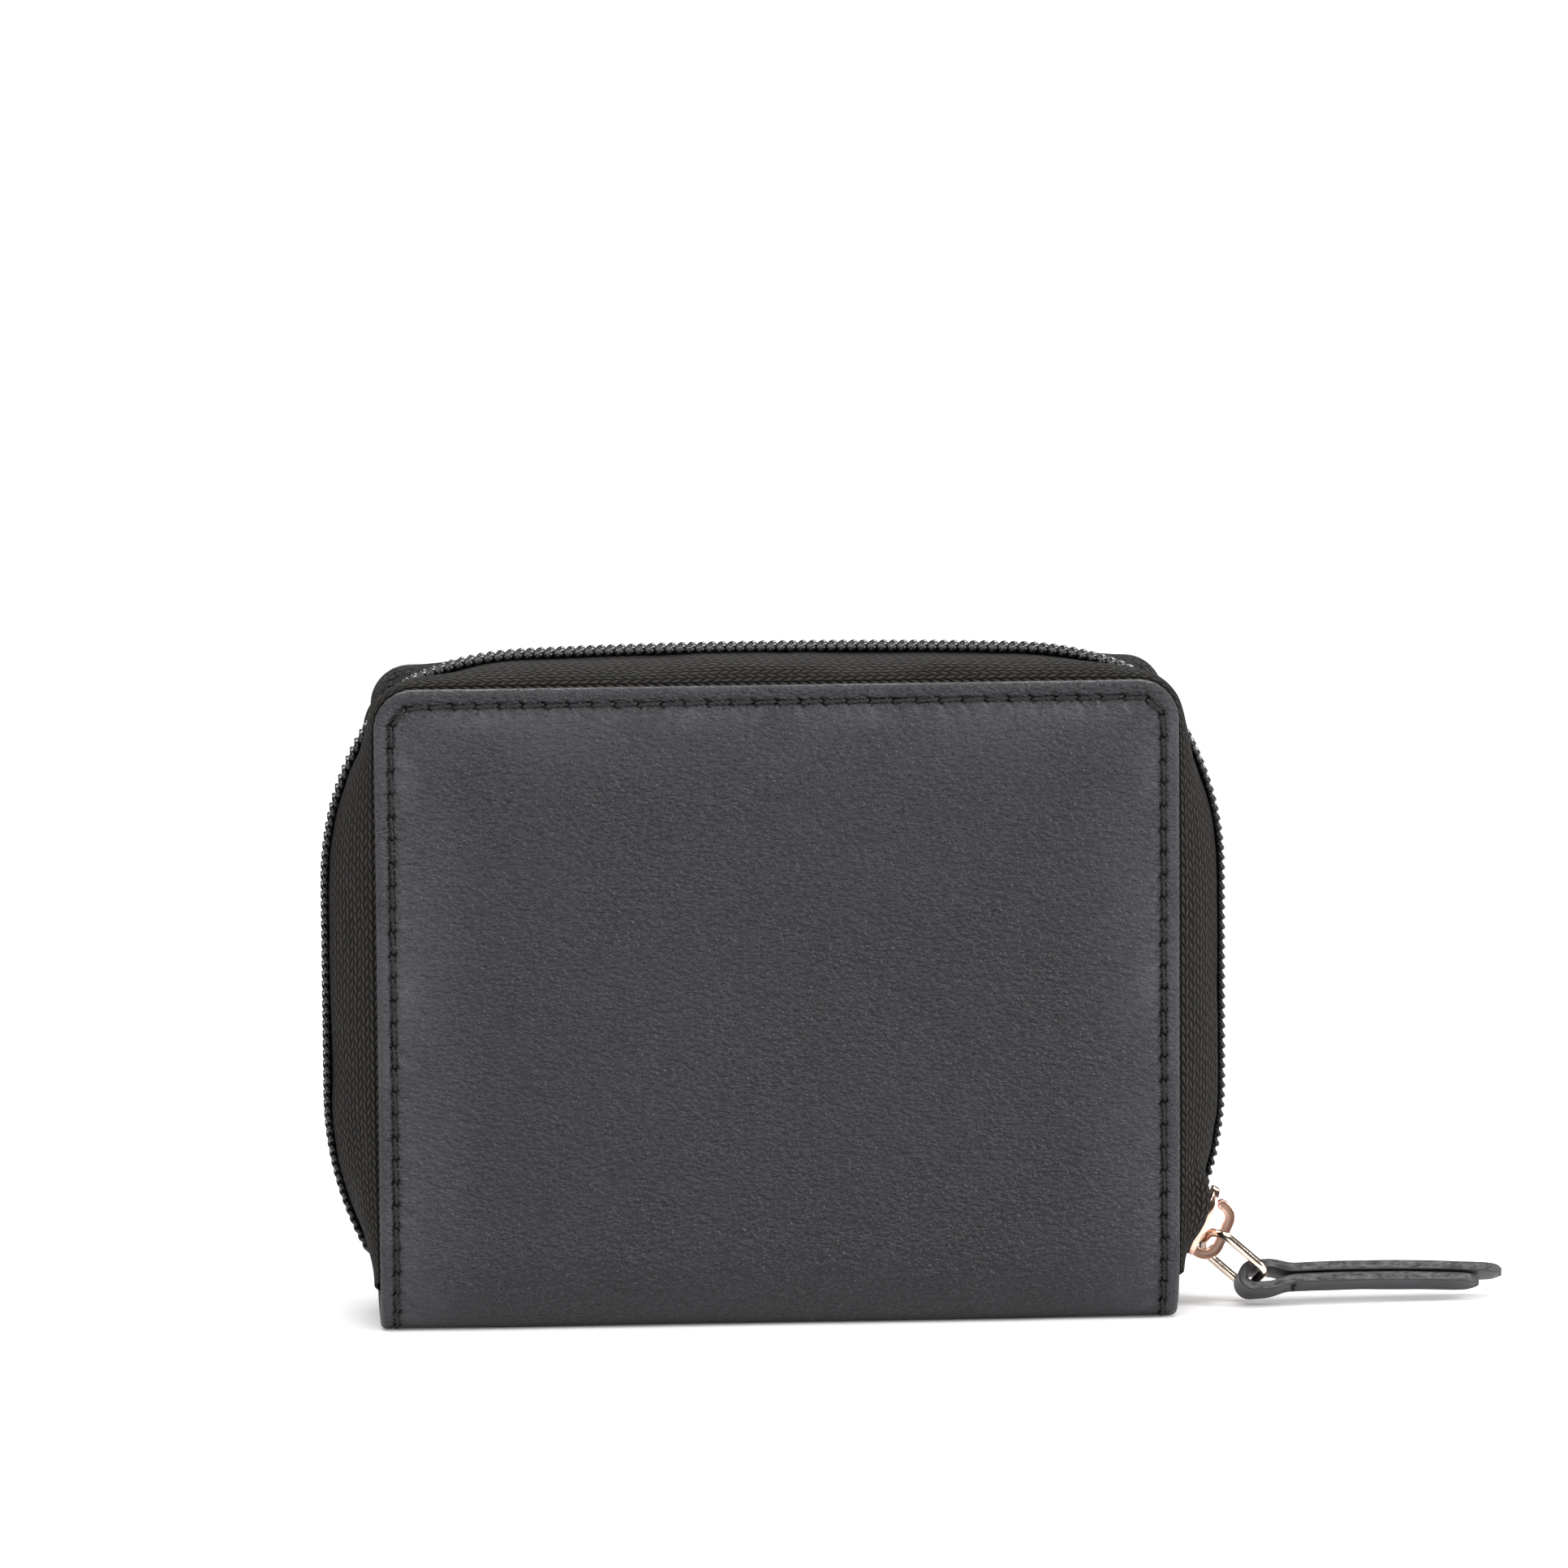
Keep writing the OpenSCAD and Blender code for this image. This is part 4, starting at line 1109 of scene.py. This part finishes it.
def coin_zip(half, side):
    """Angled tape and coil of the coin pocket's zip."""
    lo, hi = node_box(f"coin_zip_tape_{half}")
    outer, inner = (-lo[1], -hi[1]) if half == "back" else (hi[1], lo[1])
    profile = [(-outer, lo[2]), (-outer, hi[2] - 1.2), (-outer + 0.1, hi[2]), (-abs(inner), hi[2])]
    profile = even(chaikin(profile, 3), 0.25)
    under = profile + to_right(tangents(profile)) * 0.36
    ring = np.concatenate([profile, under[::-1]])
    across = np.arange(len(profile)) * 0.25
    n, m = 110, len(ring)
    x = np.repeat(np.linspace(lo[0], hi[0], n)[:, None], m, 1)
    points = np.stack([x, np.repeat(ring[None, :, 0], n, 0), np.repeat(ring[None, :, 1], n, 0)], -1)
    v = np.broadcast_to(np.concatenate([across, across[::-1]]), (n, m))
    tape = Part().add(points, skin(n, m), np.stack([x, v, np.zeros((n, m))], -1), flip=True)
    fitted(tape, f"coin_zip_{half}_tape_woven", "tape", side, "spine", f"coin_zip_tape_{half}")
    lo, hi = node_box(f"coin_zip_coil_{half}")
    pitch, wire = 1.0, 0.22
    turns = int((hi[0] - lo[0] - 1) / pitch)
    at = np.linspace(0, turns, turns * 12 + 1)
    angle = 2 * math.pi * (at + (0 if side == BACK else 0.5))
    reach, rise = (max(-lo[1], hi[1]) - 0.1) / 2, (hi[2] - lo[2]) / 2
    path = np.stack([lo[0] + 0.5 + at * pitch, -reach + (reach - 0.1) * np.cos(angle),
                     (lo[2] + hi[2]) / 2 + (rise - wire) * np.sin(angle)], -1)
    coil = tube(Part(), path, wire)
    fitted(coil, f"coin_zip_{half}_coil_wound", "nylon", side, "spine", f"coin_zip_coil_{half}")


def build_coin_slider():
    """Small slider with an arch, and its flat tab with a window for the arch."""
    lo, hi = node_box("coin_zip_slider")
    x = (lo[0] + hi[0]) / 2
    coil_top = node_box("coin_zip_coil_back")[1][2]
    plate_z = coil_top + 0.35
    axis_z = plate_z + 0.8 + 0.75
    part = Part()
    rounded_solid(part, plate_outline(7.0, 4.4), plate_z, plate_z + 0.8, 0.2, move(x))
    rounded_box(part, (x - 3.5, -1.05, lo[2]), (x + 3.5, 1.05, lo[2] + 0.7), 0.15)
    rounded_box(part, (x + 1.7, -0.22, lo[2] + 0.6), (x + 3.3, 0.22, plate_z + 0.1), 0.05)
    a = np.radians(np.linspace(-25, 205, 30))
    out = np.stack([np.cos(a), np.zeros(30), np.sin(a)], -1)
    arch = np.array([x, 0, axis_z]) + 1.075 * out
    ring = chaikin([(-0.33, -0.6), (0.33, -0.6), (0.33, 0.6), (-0.33, 0.6)], 2, True)
    points = arch[:, None] + out[:, None] * ring[None, :, :1] + np.array([0, 1.0, 0]) * ring[None, :, 1:]
    part.add(points, skin(30, len(ring)), flip=True)
    fitted(part, "coin_zip_slider_body", "gold", BACK, "coin_slider", "coin_zip_slider")
    lo, hi = node_box("coin_zip_pull")
    w, t = hi[1], 0.8
    tab = Part()
    round_end = [(lo[0] + w - w * cosd(b), w * sind(b)) for b in np.linspace(80, -80, 15)]
    outside = [(x - 2.4, w), (lo[0] + w, w)] + round_end + [(lo[0] + w, -w), (x - 2.4, -w)]
    rounded_solid(tab, np.array(outside), axis_z - t / 2, axis_z + t / 2, 0.18, move())
    for way in (-1, 1):
        side_lo, side_hi = sorted((way * 0.85, way * w))
        rounded_box(tab, (x - 2.6, side_lo, axis_z - t / 2), (x + 0.2, side_hi, axis_z + t / 2), 0.15)
    tube(tab, [(x, y, axis_z) for y in (-w, -w / 3, w / 3, w)], 0.44, 16)
    fitted(tab, "coin_zip_pull_tab", "pale_gold", BACK, "coin_pull", "coin_zip_pull")


def finish_boards():
    for name in ("back_board", "front_board", "spine_board"):
        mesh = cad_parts[name].data
        mesh.materials.clear()
        mesh.materials.append(MATERIALS["board"])


# ---- studio
CAM_TURN, CAM_RISE, CAM_ROLL, CAM_AWAY, CAM_LENS = -2.95, 9.6, -0.42, 1400.0, 258.6
CAM_CENTRE, CAM_RIGHT, CAM_UP = (0, 0, 40), 1.23, 26.2


def build_camera():
    """Long lens at the photographer's angle, aimed above the wallet so that it stands low in the picture."""
    az, el, roll = math.radians(CAM_TURN), math.radians(CAM_RISE), math.radians(CAM_ROLL)
    back = Vector((math.sin(az) * math.cos(el), -math.cos(az) * math.cos(el), math.sin(el)))
    flat = Vector((math.cos(az), math.sin(az), 0))
    up = back.cross(flat)
    right = flat * math.cos(roll) + up * math.sin(roll)
    top = up * math.cos(roll) - flat * math.sin(roll)
    centre = Vector(CAM_CENTRE)
    place = centre + back * CAM_AWAY
    aim = centre + right * CAM_RIGHT + top * CAM_UP
    back = (place - aim).normalized()
    right = (right - back * right.dot(back)).normalized()
    top = back.cross(right)
    camera = bpy.data.objects.new("camera", bpy.data.cameras.new("camera"))
    bpy.context.scene.collection.objects.link(camera)
    pose = Matrix((right, top, back)).transposed().to_4x4()
    pose.translation = place * MM
    camera.matrix_world = pose
    camera.data.lens = CAM_LENS
    camera.data.sensor_width = 36
    camera.data.clip_start, camera.data.clip_end = 0.01, 50
    bpy.context.scene.camera = camera


def area_light(name, place, aim, size, power, colour=(1, 1, 1)):
    data = bpy.data.lights.new(name, "AREA")
    data.shape, data.size, data.size_y = "RECTANGLE", size[0], size[1]
    data.energy, data.color = power, colour
    light = bpy.data.objects.new(name, data)
    bpy.context.scene.collection.objects.link(light)
    light.location = place
    light.visible_camera = False
    light.rotation_euler = (Vector(aim) - Vector(place)).to_track_quat("-Z", "Y").to_euler()
    return light


def build_studio():
    floor_mesh = bpy.data.meshes.new("floor")
    reach = 9.0
    corners = [(-reach, -reach, 0), (reach, -reach, 0), (reach, reach, 0), (-reach, reach, 0)]
    floor_mesh.from_pydata(corners, [], [(0, 1, 2, 3)])
    floor = bpy.data.objects.new("floor", floor_mesh)
    bpy.context.scene.collection.objects.link(floor)
    pale = Shader("floor_paper", Base_Color=rgb(0.9, 0.9, 0.9), Roughness=0.9, Specular_IOR_Level=0.05,
                  Emission_Color=rgb(1, 1, 1), Emission_Strength=0.05)
    floor_mesh.materials.append(pale.material)
    aim = (0, 0, 0.04)
    lights = [
        area_light("top", (0.0, -0.1, 1.3), aim, (1.5, 0.8), 15),
        area_light("left", (-1.1, -0.75, 0.5), aim, (0.5, 0.9), 11),
        area_light("right", (1.2, -0.6, 0.6), aim, (0.5, 0.9), 25),
        area_light("back", (0.2, 1.6, 1.0), aim, (1.8, 0.6), 7),
        area_light("far", (0.0, 2.6, 1.6), (0.0, 2.4, 0.0), (3.0, 1.6), 52),
        area_light("brow", (-0.05, -0.24, 0.36), (0, 0, 0.07), (0.3, 0.1), 0.75),
    ]
    world = bpy.data.worlds.new("studio")
    bpy.context.scene.world = world
    world.use_nodes = True
    sky = world.node_tree.nodes["Background"].inputs
    sky["Color"].default_value, sky["Strength"].default_value = rgb(1, 1, 1), 0.06
    bpy.context.scene.view_settings.view_transform = "Standard"
    bpy.context.scene.view_settings.look = "None"


build_camera()
build_studio()
build_covers()
build_zip()
build_slider()
build_ring()
build_puller()
build_linings()
build_pockets()
for half_name, half_side in HALVES:
    coin_wall(half_name, half_side)
    coin_zip(half_name, half_side)
build_coin_slider()
finish_boards()
